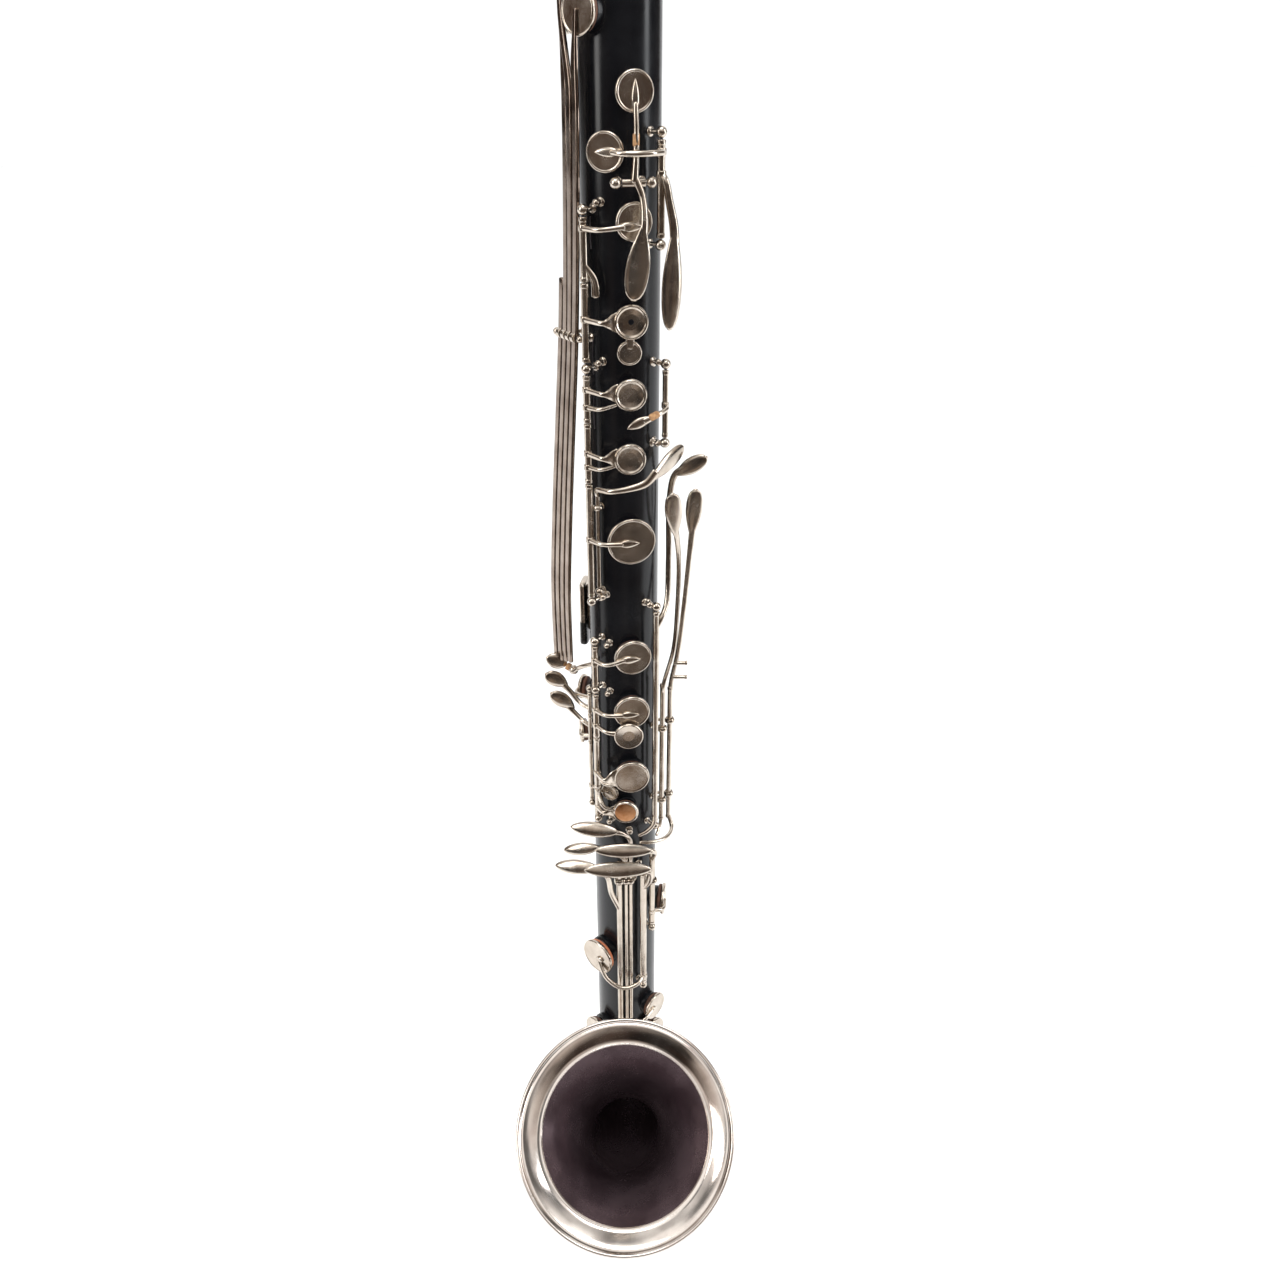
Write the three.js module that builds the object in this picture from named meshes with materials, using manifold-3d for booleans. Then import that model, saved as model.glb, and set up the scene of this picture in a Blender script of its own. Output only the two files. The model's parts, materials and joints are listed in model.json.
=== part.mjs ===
// Alto clarinet: one-piece black body, nickel-plated keywork, bent neck and upturned metal bell.
// Millimetres. While modelling, the body's axis is the Z axis, -Y is the front (the side with
// the finger keys, where the bell faces) and angles are measured round the body from the front
// towards +X. The whole instrument is then moved so that the origin is the strap ring's eye.
import * as THREE from "three";
import { mergeVertices } from "three/addons/utils/BufferGeometryUtils.js";
import Module from "manifold-3d";

const wasm = await Module();
wasm.setup();

// ---------------------------------------------------------------- driving dimensions
const BODY_RADIUS = 16.5;
const BORE_RADIUS = 9.0;
const BODY_TOP = 318;
const BODY_BOTTOM = -270;
const TENON_RADIUS = 13.8;
const TENON_LENGTH = 12;
const GAP = 0.3;

const SEAT = 18.0; // radius of the flat rim round each tone hole
const PAD_THICK = 1.8;
const CUP_THICK = 1.9;
const ROD = 22.5; // distance of the long hinge tubes from the body's axis
const INNER_ROD = 20.0; // distance of the second row of hinge tubes
const TUBE_R = 1.6;
const THIN_TUBE_R = 0.95;
const POST_BALL_R = 2.2;

const NECK_ARC_RADIUS = 62;
const NECK_TURN = 62;
const NECK_RISE = 34;
const NECK_END = 30;
const NECK_BOTTOM_R = 13.2;
const NECK_TOP_R = 8.8;

const BELL_ARC_RADIUS = 28;
const BELL_TURN = 143;
const BELL_DROP = 13.5;
const BELL_FLARE = 57;
const BELL_MOUTH_R = 58.8;
const BELL_WALL = 1.1;

const STRAP_EYE = new THREE.Vector3(0, 24.5, 50);

// ---------------------------------------------------------------- materials
const nickel = () =>
  new THREE.MeshStandardMaterial({ color: 0xb9ada0, roughness: 0.28, metalness: 1 });
const blackPlastic = () =>
  new THREE.MeshStandardMaterial({ color: 0x0e1013, roughness: 0.38, metalness: 0 });
const cork = () => new THREE.MeshStandardMaterial({ color: 0xb98a58, roughness: 0.9, metalness: 0 });
const padLeather = () =>
  new THREE.MeshStandardMaterial({ color: 0xc8744a, roughness: 0.75, metalness: 0 });
const cane = () => new THREE.MeshStandardMaterial({ color: 0xd9bd7c, roughness: 0.7, metalness: 0 });

// ---------------------------------------------------------------- placing
const radians = THREE.MathUtils.degToRad;
const UP = new THREE.Vector3(0, 0, 1);

// The point at a distance from the body's axis, at an angle from the front, at a height.
function at(distance, angle, height) {
  const turn = radians(angle);
  return new THREE.Vector3(distance * Math.sin(turn), -distance * Math.cos(turn), height);
}

function xyz(x, y, z) {
  return new THREE.Vector3(x, y, z);
}

function outward(angle) {
  return at(1, angle, 0);
}

// Moves a geometry built round its own Y axis so that the axis points along a direction.
function aim(geometry, origin, direction) {
  const turn = new THREE.Quaternion().setFromUnitVectors(
    new THREE.Vector3(0, 1, 0),
    direction.clone().normalize(),
  );
  return geometry.applyQuaternion(turn).translate(origin.x, origin.y, origin.z);
}

// ---------------------------------------------------------------- solids
function solid(geometry) {
  const plain = geometry.clone();
  plain.deleteAttribute("normal");
  plain.deleteAttribute("uv");
  const merged = mergeVertices(plain, 1e-4);
  const mesh = new wasm.Mesh({
    numProp: 3,
    vertProperties: new Float32Array(merged.attributes.position.array),
    triVerts: new Uint32Array(merged.index.array),
  });
  return new wasm.Manifold(mesh);
}

function joined(pieces) {
  return pieces.reduce((whole, piece) => whole.add(piece));
}

function geometryOf(manifold) {
  const mesh = manifold.getMesh();
  const geometry = new THREE.BufferGeometry();
  geometry.setAttribute("position", new THREE.BufferAttribute(mesh.vertProperties, 3));
  geometry.setIndex(new THREE.BufferAttribute(mesh.triVerts, 1));
  geometry.computeVertexNormals();
  return geometry;
}

// A straight round bar between two points.
function bar(from, to, radius, sides = 6) {
  const along = to.clone().sub(from);
  const middle = from.clone().add(to).multiplyScalar(0.5);
  return solid(aim(new THREE.CylinderGeometry(radius, radius, along.length(), sides), middle, along));
}

function ball(centre, radius) {
  const geometry = new THREE.SphereGeometry(radius, 6, 3);
  return solid(geometry.translate(centre.x, centre.y, centre.z));
}

// A bent round bar through a list of points.
function wire(points, radius, steps = 2 * (points.length - 1), sides = 4) {
  const section = new THREE.Shape();
  for (let side = 0; side < sides; side += 1) {
    const turn = (2 * Math.PI * side) / sides;
    const corner = [radius * Math.cos(turn), radius * Math.sin(turn)];
    if (side === 0) section.moveTo(...corner);
    else section.lineTo(...corner);
  }
  section.closePath();
  const extrudePath = new THREE.CatmullRomCurve3(points);
  return solid(new THREE.ExtrudeGeometry(section, { extrudePath, steps, bevelEnabled: false }));
}

// A lens-shaped finger touch: its long axis runs between two points, its face looks along face.
function spoon(from, to, width, thick, face) {
  const along = to.clone().sub(from);
  const middle = from.clone().add(to).multiplyScalar(0.5);
  const x = along.clone().normalize();
  const z = face.clone().addScaledVector(x, -face.dot(x)).normalize();
  const y = z.clone().cross(x);
  const geometry = new THREE.SphereGeometry(1, 8, 4);
  geometry.rotateZ(Math.PI / 2);
  geometry.scale(along.length() / 2, width / 2, thick / 2);
  geometry.applyMatrix4(new THREE.Matrix4().makeBasis(x, y, z));
  return solid(geometry.translate(middle.x, middle.y, middle.z));
}

// A flat round plate with an eased upper edge, its underside at a distance from the axis.
function plate(angle, height, distance, diameter, thick = CUP_THICK) {
  const radius = diameter / 2;
  const profile = [
    new THREE.Vector2(0, 0),
    new THREE.Vector2(radius, 0),
    new THREE.Vector2(radius, thick * 0.55),
    new THREE.Vector2(radius * 0.86, thick),
    new THREE.Vector2(0, thick),
  ];
  return solid(aim(new THREE.LatheGeometry(profile, 12), at(distance, angle, height), outward(angle)));
}

// ---------------------------------------------------------------- collecting the instrument
const instrument = new THREE.Group();
instrument.position.copy(STRAP_EYE).negate();

function place(name, manifold, material, group = instrument, offset = null) {
  const mesh = new THREE.Mesh(geometryOf(manifold), material);
  mesh.name = name;
  if (offset) mesh.position.copy(offset).negate();
  group.add(mesh);
}

// Tone holes as { angle, height, diameter, seat } and solids that stand on the body, both
// collected while the keys are made. The body is made last from them.
const toneHoles = [];
const fittings = [];
const clearances = [];

// A pillar from the body out to a point, with a ball on its end.
function post(spot, ballRadius = POST_BALL_R) {
  const foot = new THREE.Vector3(spot.x, spot.y, 0).setLength(BODY_RADIUS - 0.6).setZ(spot.z);
  fittings.push(bar(foot, spot, 1.0, 4), ball(spot, ballRadius));
}

// A post that a tube runs through.
function saddle(spot, tubeRadius) {
  post(spot, tubeRadius + 0.9);
  const reach = new THREE.Vector3(0, 0, POST_BALL_R + 2);
  clearances.push(bar(spot.clone().sub(reach), spot.clone().add(reach), tubeRadius + GAP));
}

// A hinge line parallel to the body. Its tube runs from top to bottom.
function upright(angle, distance, top, bottom) {
  const point = at(distance, angle, (top + bottom) / 2);
  return { angle, distance, top, bottom, point, axis: UP };
}

function tube(hinge, radius = TUBE_R) {
  const { angle, distance, top, bottom } = hinge;
  return bar(at(distance, angle, top), at(distance, angle, bottom), radius);
}

// A hinge line across the body between two points, where its posts stand.
function crosswise(from, to) {
  const point = from.clone().add(to).multiplyScalar(0.5);
  return { from, to, point, axis: to.clone().sub(from).normalize() };
}

function crossTube(hinge, radius = TUBE_R) {
  const inset = hinge.axis.clone().multiplyScalar(POST_BALL_R + GAP);
  return bar(hinge.from.clone().add(inset), hinge.to.clone().sub(inset), radius);
}

const CUP_TOP = SEAT + GAP + PAD_THICK + GAP + CUP_THICK;

// A cup over a tone hole, in its closed position, with its pad under it.
function cup(angle, height, diameter) {
  toneHoles.push({ angle, height, diameter, seat: SEAT });
  const padRadius = diameter / 2 - 0.9;
  const padMiddle = at(SEAT + GAP + PAD_THICK / 2, angle, height);
  const disc = new THREE.CylinderGeometry(padRadius, padRadius, PAD_THICK, 12);
  return {
    metal: plate(angle, height, SEAT + 2 * GAP + PAD_THICK, diameter),
    pad: solid(aim(disc, padMiddle, outward(angle))),
  };
}

// A cup whose pad is made in one with it.
function plainCup(angle, height, diameter, seat = SEAT, thick = PAD_THICK + CUP_THICK) {
  toneHoles.push({ angle, height, diameter, seat });
  return plate(angle, height, seat + GAP, diameter, thick);
}

// A pointed arm end lying on a cup.
function armTip(angle, height, length, width) {
  const spread = length / CUP_TOP / 2 / radians(1);
  const from = at(CUP_TOP + 0.3, angle - spread, height);
  const to = at(CUP_TOP + 0.3, angle + spread, height);
  return spoon(from, to, width, 1.9, outward(angle));
}

// A key on its hinge. Everything is given closed; openAngle then turns it to where it rests.
function key(name, hinge, pieces, pad = null, openAngle = 0) {
  const pivot = new THREE.Group();
  pivot.position.copy(hinge.point);
  pivot.quaternion.setFromAxisAngle(hinge.axis, radians(openAngle));
  pivot.userData.hinge = { name, axis: hinge.axis.toArray(), openAngle };
  place(name, joined(pieces), nickel(), pivot, hinge.point);
  if (pad) place(`${name}_pad`, pad, padLeather(), pivot, hinge.point);
  instrument.add(pivot);
}

// ---------------------------------------------------------------- throat keys
{
  const hinge = crosswise(at(24, -3.3, 211), at(24, 31.3, 211));
  post(hinge.from);
  post(hinge.to);
  const { metal, pad } = cup(16.2, 242.3, 15);
  const arm = wire(
    [at(22.6, 16.2, 244), at(23.6, 16, 232), at(24, 15.5, 220), at(23.6, 14, 211), at(26.2, 22, 205),
      at(28.4, 19, 192)],
    1.3,
  );
  const touch = spoon(at(28.2, 19, 196), at(27.4, 12, 170), 9.6, 2.4, outward(15));
  key("throat_a_key", hinge, [crossTube(hinge), metal, arm, touch], pad);
}
{
  const hinge = upright(46, ROD, 225.8, 189.9);
  post(at(ROD, 46, 228.3));
  post(at(ROD, 46, 187.4));
  const { metal, pad } = cup(-14.3, 221.7, 15);
  const arm = wire(
    [at(22.4, -16, 221.7), at(24.8, -8, 221.7), at(28.4, 4, 221.5), at(28.6, 26, 221.5),
      at(25.6, 40, 221.5), at(ROD, 46, 221.5)],
    1.2,
  );
  const lever = wire([at(ROD, 46, 215), at(25.6, 45, 212), at(26.4, 49.4, 202.5), at(27.6, 53, 189)], 1.3);
  const touch = spoon(at(28, 53.4, 193), at(27, 48.9, 156), 8.6, 2.6, outward(50));
  key("throat_g_sharp_key", hinge, [tube(hinge), metal, arm, lever, touch], pad);
}

// ---------------------------------------------------------------- left-hand stack
const STACK = -40;

// An arm from the stack's tube to a cup on the front, with a pointed end on the cup.
function stackArm(stackAngle, cupAngle, height, cupHeight = height) {
  const over = (stackAngle + cupAngle) / 2;
  const points = [
    at(ROD, stackAngle, height),
    at(24.0, over - 6, height),
    at(CUP_TOP + 0.3, cupAngle - 10, cupHeight),
  ];
  return wire(points, 1.2, 5).add(armTip(cupAngle - 3, cupHeight, 11, 4));
}

// A flat web from the stack's tube to the edge of a plateau cup.
function web(stackAngle, cupAngle, height, width, diameter) {
  const edge = cupAngle - diameter / 2 / CUP_TOP / radians(1);
  const rise = Math.hypot(CUP_TOP, 0.4 * diameter);
  return spoon(at(ROD, stackAngle, height), at(rise, edge + 6, height), width, 2.2, outward(-15));
}

for (const height of [200.8, 138.3, 29.7]) post(at(ROD, STACK, height));
{
  const hinge = upright(STACK, ROD, 198.3, 173.4);
  const { metal, pad } = cup(15.3, 196.7, 15);
  const tab = wire([at(ROD, STACK, 180), at(20.4, -31, 174), at(20.2, -30, 168)], 1.6, 4);
  key("left_vent_key", hinge, [tube(hinge), metal, stackArm(STACK, 15.3, 194), tab], pad);
}
{
  const hinge = upright(STACK, ROD, 173.1, 141);
  const { metal, pad } = cup(13.2, 158.7, 14.2);
  const half = plainCup(11.5, 146, 10.4);
  const neck = bar(at(21.5, 12.5, 155), at(21.5, 11.8, 147), 1.2, 6);
  const arm = web(STACK, 13.2, 158.7, 6.5, 14.2);
  key("left_first_finger_key", hinge, [tube(hinge), metal, half, neck, arm], pad, -6);
}
{
  const hinge = upright(STACK, ROD, 135.7, 115.2);
  const { metal, pad } = cup(12.5, 128.7, 13.8);
  const arm = web(STACK, 12.5, 129.6, 4, 13.8);
  const strut = wire([at(ROD, STACK, 122), at(23.2, -20, 122.6), at(21.9, -4, 125.4)], 1.1, 5);
  key("left_second_finger_key", hinge, [tube(hinge), metal, arm, strut], pad, -6);
}
{
  const hinge = upright(STACK, ROD, 114.9, 88);
  const { metal, pad } = cup(11.3, 100.7, 14);
  const arm = web(STACK, 11.3, 101.6, 4, 14);
  const strut = wire([at(ROD, STACK, 95.4), at(23.2, -20, 95.6), at(21.9, -4, 97.6)], 1.1, 5);
  key("left_third_finger_key", hinge, [tube(hinge), metal, arm, strut], pad, -6);
}
{
  const hinge = upright(STACK, ROD, 87.7, 32.2);
  const { metal, pad } = cup(11.2, 61.5, 22);
  key("c_sharp_cup_key", hinge, [tube(hinge), metal, stackArm(STACK, 11.2, 61)], pad);
}
{
  const hinge = upright(-34, 19.4, 84.5, 36.5);
  post(at(19.4, -34, 34.4), 1.9);
  saddle(at(19.4, -34, 76), THIN_TUBE_R);
  const lever = wire(
    [at(19.4, -34, 82), at(23.4, -27, 86), at(27.6, -10, 87.6), at(28.2, 6, 89), at(28.2, 22, 91),
      at(28.2, 32, 95)],
    1.35,
  );
  const touch = spoon(at(28.2, 30, 93.4), xyz(26.4, -3, 98.6), 5.6, 2.2, outward(50));
  key("c_sharp_lever", hinge, [tube(hinge, THIN_TUBE_R), lever, touch]);
}
{
  const hinge = upright(57, ROD, 136.7, 107.2);
  post(at(ROD, 57, 139.2));
  post(at(ROD, 57, 104.7));
  const arm = wire([at(ROD, 57, 121.5), at(25.4, 50, 121.2), at(27, 36, 120.2), at(27.2, 20, 118)], 1.1);
  const touch = spoon(at(27.2, 30, 119.8), at(27, 6.5, 115.6), 3.8, 1.8, outward(16));
  key("sliver_key", hinge, [tube(hinge, 1.2), arm, touch]);
}

// ---------------------------------------------------------------- left little-finger levers
// Long levers on the right of the body. Each ends in an upright tube whose lowest end bends
// round to the front.
{
  const hinge = upright(44, ROD, 24, -99.2);
  post(at(ROD, 44, 26.5));
  post(at(ROD, 44, -101.7));
  const rod = wire(
    [xyz(28, -1.2, 89.4), xyz(24, -0.9, 86), xyz(21.8, -0.9, 77),
      xyz(21.4, -5.1, 45), xyz(20.6, -10.5, 25.5), at(23.6, 50, 20), at(ROD, 44, 15)],
    1.35,
  );
  const touch = spoon(xyz(24.4, -1, 86.6), xyz(37.3, -2.3, 94.2), 6.4, 2.4,
    xyz(0.2, -1, 0.1));
  const foot = wire([at(ROD, 44, -94), at(24.4, 38, -98.4), at(24.6, 28, -101.4), at(24.2, 19, -103)], 1.15);
  key("little_finger_lever_1", hinge, [tube(hinge, 1.5), rod, touch, foot]);
}
{
  const hinge = upright(58.3, ROD, -18, -101);
  saddle(at(ROD, 58.3, -44), THIN_TUBE_R);
  saddle(at(ROD, 58.3, -88), THIN_TUBE_R);
  const rod = wire(
    [xyz(23.4, -11.3, 69), xyz(25, -5.6, 58), xyz(26.4, -1.6, 43.6),
      xyz(26.1, -1.8, 20), xyz(24.4, -4.6, -3), at(23.4, 58, -17),
      at(ROD, 58.3, -24)],
    1.1,
  );
  const touch = spoon(xyz(22.4, -13, 80), xyz(24.2, -9.8, 64), 6.8, 2.4,
    xyz(0.45, -0.9, 0));
  const foot = wire([at(ROD, 58.3, -99), at(23.4, 52, -103.6), at(25.2, 42, -106)], THIN_TUBE_R, 5);
  key("little_finger_lever_2", hinge, [tube(hinge, THIN_TUBE_R), rod, touch, foot]);
}
{
  const hinge = upright(87.5, 23.2, -26, -108);
  saddle(at(23.2, 87.5, -46), 1.2);
  saddle(at(23.2, 87.5, -92), 1.2);
  const rod = wire(
    [xyz(32.6, -1.8, 62), xyz(31.2, -1.5, 43.8), xyz(29.3, -1.3, 19.4),
      xyz(26.8, -1, -6), xyz(23.6, -1, -24), at(23.2, 87.5, -32)],
    1.2,
  );
  const touch = spoon(xyz(33.4, -2, 78), xyz(32.4, -1.7, 59), 6.5, 2.4,
    xyz(0, -1, 0));
  const pins = [-12.3, -20.4].map((height) =>
    bar(new THREE.Vector3(24.6, -1.2, height), new THREE.Vector3(31.4, -1.2, height), 1.0, 6),
  );
  const foot = wire(
    [at(23.2, 87.5, -106), at(25.4, 80, -111), at(26.6, 58, -110.6), at(25.8, 36, -109),
      at(24.6, 20, -107.6)],
    1.15,
  );
  key("little_finger_lever_3", hinge, [tube(hinge, 1.2), rod, touch, ...pins, foot]);
}

// ---------------------------------------------------------------- side levers
// Four long levers down the left side, rocking on one cross rod.
const ROCKER_OUTER = xyz(-27.6, 1.0, 150);
const ROCKER_INNER = xyz(-17.0, -14.9, 150);
const LEVER_FOOT_OUTER = xyz(-33.2, -1.6, 0);
const LEVER_FOOT_INNER = xyz(-25.8, -12.6, 0);
{
  const hinge = crosswise(ROCKER_OUTER, ROCKER_INNER);
  post(ROCKER_OUTER, 1.5);
  post(ROCKER_INNER, 1.3);
  fittings.push(bar(ROCKER_OUTER, ROCKER_INNER, 0.7, 6));
  const leverAt = (share, height) => {
    const high = at(22.4, THREE.MathUtils.lerp(-78, -47, share), height);
    const middle = ROCKER_OUTER.clone().lerp(ROCKER_INNER, 0.2 + 0.6 * share).setZ(height);
    const low = LEVER_FOOT_OUTER.clone().lerp(LEVER_FOOT_INNER, share).setZ(height);
    if (height > 150) return middle.lerp(high, Math.min(1, (height - 150) / 70));
    return middle.lerp(low, Math.min(1, (150 - height) / 110));
  };
  const cups = [null, [-98, 268, 14], [-74, 292, 17], [-43, 268.5, 17]];
  for (let number = 0; number < 4; number += 1) {
    const share = number / 3;
    const top = [172, 250, 244, 252][number];
    const bottom = number === 0 ? -10 : -3 + 2 * number;
    const heights = [top, 235, 200, 150, 110, 70, 30, bottom].filter((height) => height <= top);
    const points = heights.map((height) => leverAt(share, height));
    const boss = hinge.axis.clone().multiplyScalar(0.95);
    const centre = leverAt(share, 150);
    const pieces = [bar(centre.clone().sub(boss), centre.clone().add(boss), 2.2)];
    let pad = null;
    if (cups[number]) {
      const [angle, height, diameter] = cups[number];
      if (number === 2) points.unshift(at(22.4, angle, 268));
      points.unshift(at(CUP_TOP + 0.4, angle, height));
      const made = number === 3 ? cup(angle, height, diameter) : null;
      pieces.push(made ? made.metal : plainCup(angle, height, diameter));
      pad = made ? made.pad : null;
    }
    pieces.push(wire(points, 1.0, 2 * points.length));
    if (number === 0) {
      pieces.push(spoon(xyz(-37.6, -3, -9.4), xyz(-28.6, -2, -12), 6.2, 2.6,
        xyz(-0.3, -1, 0.2)));
    }
    const lever = joined(pieces).subtract(bar(ROCKER_OUTER, ROCKER_INNER, 1.0, 6));
    key(`side_lever_${number + 1}`, hinge, [lever], pad);
  }
}

// ---------------------------------------------------------------- right-hand stack
const LOWER_STACK = -37;
const SIDE_STACK = -58;
for (const height of [9.1, -17.7, -95.5]) post(at(ROD, LOWER_STACK, height));
for (const height of [-21.4, -91]) post(at(INNER_ROD, SIDE_STACK, height), 1.8);
{
  const hinge = upright(LOWER_STACK, ROD, 6.6, -15.2);
  const { metal, pad } = cup(12.5, 1.7, 18);
  const tail = wire([at(ROD, LOWER_STACK, -3), at(24.8, -55, -7), at(25.6, -74, -13)], 1.2);
  const knob = ball(at(25.4, -78, -13.8), 2.4);
  key("right_trill_key", hinge, [tube(hinge), metal, stackArm(LOWER_STACK, 12.5, -1, 1.2), tail, knob], pad);
}
{
  const hinge = upright(SIDE_STACK, INNER_ROD, -23.6, -36.2);
  const { metal, pad } = cup(-112, -31, 13);
  const arm = wire([at(INNER_ROD, SIDE_STACK, -27), at(23.4, -85, -29), at(CUP_TOP + 0.3, -108, -31)], 1.1);
  const lever = wire(
    [xyz(-31.6, -2.8, -21), xyz(-26.4, -3.4, -27), xyz(-22, -6, -32),
      at(INNER_ROD, SIDE_STACK, -33.4)],
    1.2,
  );
  const touch = spoon(xyz(-37.2, -3.4, -17.6), xyz(-29, -2.6, -21.8), 6, 2.6,
    xyz(-0.3, -1, 0.3));
  key("side_key_upper", hinge, [tube(hinge, 1.2), metal, arm, lever, touch], pad, 5);
}
{
  const hinge = upright(SIDE_STACK, INNER_ROD, -36.5, -52);
  const { metal, pad } = cup(-86, -51.4, 13.4);
  const arm = wire(
    [at(INNER_ROD, SIDE_STACK, -49), at(22.8, -70, -50.4), at(CUP_TOP + 0.2, -82, -51.4)],
    1.1,
  );
  const lever = wire(
    [xyz(-29, -2.8, -34.6), xyz(-25, -3.6, -39), xyz(-21, -6, -42.4),
      at(INNER_ROD, SIDE_STACK, -43.6)],
    1.2,
  );
  const touch = spoon(xyz(-34.8, -3.4, -29.6), xyz(-27, -2.6, -35.8), 6, 2.6,
    xyz(-0.3, -1, 0.3));
  key("side_key_lower", hinge, [tube(hinge, 1.2), metal, arm, lever, touch], pad, 5);
}
{
  const hinge = upright(LOWER_STACK, ROD, -20.2, -45);
  const { metal, pad } = cup(11.5, -28, 17.6);
  const touch = plate(7.1, -40.2, 23.2, 14.4, 1.8);
  const branch = wire([at(ROD, LOWER_STACK, -38), at(25, -15, -39), at(24, 3, -40)], 1.2, 5);
  key("right_first_finger_key", hinge,
    [tube(hinge), metal, stackArm(LOWER_STACK, 11.5, -29), branch, touch], pad, -4);
}
{
  const hinge = upright(LOWER_STACK, ROD, -45.3, -76);
  const { metal, pad } = cup(10.7, -66.6, 18.4);
  const hook = wire([at(ROD, LOWER_STACK, -66), at(24.2, -24, -70.4), at(24.4, -13, -70)], 1.2, 5);
  const arm = web(LOWER_STACK, 10.7, -66.6, 6, 18.4);
  key("right_second_finger_key", hinge, [tube(hinge), metal, arm, hook], pad, -5);
}
{
  const hinge = upright(LOWER_STACK, ROD, -76.3, -93);
  const { metal, pad } = cup(2.7, -88.1, 13.4);
  const hook = wire([at(ROD, LOWER_STACK, -80), at(24.2, -24, -85), at(22.6, -12, -87)], 1.2, 5);
  const arm = web(LOWER_STACK, 2.7, -88.1, 4.4, 13.4);
  key("right_third_finger_key", hinge, [tube(hinge), metal, arm, hook], pad, -6);
}
{
  const hinge = upright(SIDE_STACK, INNER_ROD, -52.3, -88.9);
  const vent = plainCup(-24, -80, 9.6, 16.9, 2.0);
  const arm = wire([at(INNER_ROD, SIDE_STACK, -80), at(19.3, -40, -80), at(18.9, -27, -80)], 0.9, 4);
  key("right_bridge_key", hinge, [tube(hinge, 1.2), vent, arm]);
}

// ---------------------------------------------------------------- right little-finger keys
const fan = xyz(0, -0.86, 0.5); // the way the little finger's touches face
{
  const hinge = upright(7.8, ROD, -112, -243.4);
  post(at(ROD, 8.6, -245.4), 1.5);
  const { metal, pad } = cup(51.5, -236.5, 16.4);
  const arm = wire([at(ROD, 7.8, -239), at(25, 22, -238), at(CUP_TOP + 0.4, 46, -236.5)], 1.1);
  const touch = spoon(xyz(-27, -20.5, -99.4), xyz(-4.2, -27, -97.6), 7.6, 2.4, fan);
  const link = wire(
    [xyz(-8, -26, -98.2), xyz(-0.6, -24.8, -100.8), xyz(2.9, -22.7, -107),
      at(ROD, 7.8, -116)],
    1.1,
  );
  key("low_key_1", hinge, [tube(hinge, THIN_TUBE_R), metal, arm, touch, link], pad);
}
{
  const hinge = upright(1.5, ROD, -118, -261.4);
  post(at(ROD, 1.5, -263.6), 1.9);
  const { metal, pad } = cup(48, -256, 17);
  const arm = wire([at(ROD, 1.5, -256.5), at(25, 20, -256.5), at(CUP_TOP + 0.4, 43, -256)], 1.1);
  const touch = spoon(xyz(-31.6, -19.6, -115.4), xyz(-13, -25.4, -109), 7.2, 2.4, fan);
  const link = wire(
    [xyz(-15.6, -24.6, -110), xyz(-9, -24.6, -111.6), xyz(-3, -23.8, -115),
      at(ROD, 1.5, -122)],
    1.1,
  );
  key("low_key_2", hinge, [tube(hinge, THIN_TUBE_R), metal, arm, touch, link], pad);
}
{
  const hinge = upright(40.2, ROD, -117, -168.8);
  post(at(ROD, 40.2, -171.3));
  saddle(at(ROD, 40.2, -138), 1.55);
  const { metal, pad } = cup(82.7, -163.8, 17.6);
  const arm = wire([at(ROD, 40.2, -160), at(24.4, 58, -162), at(CUP_TOP + 0.3, 78, -163.8)], 1.2);
  const touch = spoon(xyz(-15.4, -29.6, -107.4), xyz(14.4, -25.6, -110.8), 8, 2.4, fan);
  const link = wire(
    [xyz(10, -26.4, -110.6), xyz(14.6, -24.6, -112.4),
      xyz(16, -20.8, -116.6), at(ROD, 40.2, -124)],
    1.3,
  );
  key("low_key_3", hinge, [tube(hinge, 1.55), metal, arm, touch, link], pad);
}
{
  const hinge = upright(-7.7, ROD, -123, -259.6);
  post(at(ROD, -7.7, -262), 1.9);
  const { metal, pad } = cup(-52, -255, 17.4);
  const arm = wire([at(ROD, -7.7, -255), at(24.6, -24, -255), at(CUP_TOP + 0.4, -46, -255)], 1.2);
  const touch = spoon(xyz(-35.6, -16.4, -125.8), xyz(-15.8, -25.6, -121.6), 7.6, 2.4, fan);
  const link = wire(
    [xyz(-19, -24.2, -122.6), xyz(-12.6, -25, -126.4),
      xyz(-8.8, -24.4, -136), xyz(-6, -23.2, -148), at(ROD, -7.7, -158)],
    1.4,
  );
  key("low_key_4", hinge, [tube(hinge, 1.6), metal, arm, touch, link], pad, 6);
}
{
  const hinge = upright(25.7, ROD, -130.4, -209.4);
  post(at(ROD, 25.7, -212));
  post(at(ROD, 25.7, -127.8));
  const { metal, pad } = cup(-46, -193.6, 21);
  const arm = wire(
    [at(ROD, 25.7, -205), at(26.2, 12, -208.4), at(26.8, -8, -210), at(25.4, -27, -204),
      at(CUP_TOP + 0.3, -43, -196)],
    1.3,
  );
  const touch = spoon(xyz(-20.6, -29.4, -118.6), xyz(12.4, -26.2, -123.2), 8.2, 2.4, fan);
  const link = wire(
    [xyz(8.4, -26.6, -122.6), xyz(12.8, -25.6, -126), xyz(12.8, -24, -133),
      at(ROD, 25.7, -141)],
    1.4,
  );
  key("low_key_5", hinge, [tube(hinge, 1.9), metal, arm, touch, link], pad, 5);
}
// One block, hidden behind the touches, carries the three front tubes.
fittings.push(solid(new THREE.BoxGeometry(9.6, 9, 3.2).translate(0.2, -19.8, -134)));
for (const [angle, radius] of [[-7.7, 1.6], [1.5, THIN_TUBE_R], [7.8, THIN_TUBE_R]]) {
  clearances.push(bar(at(ROD, angle, -130), at(ROD, angle, -138), radius + GAP));
}
post(at(18.8, 7.9, -104), 1.7);

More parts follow.
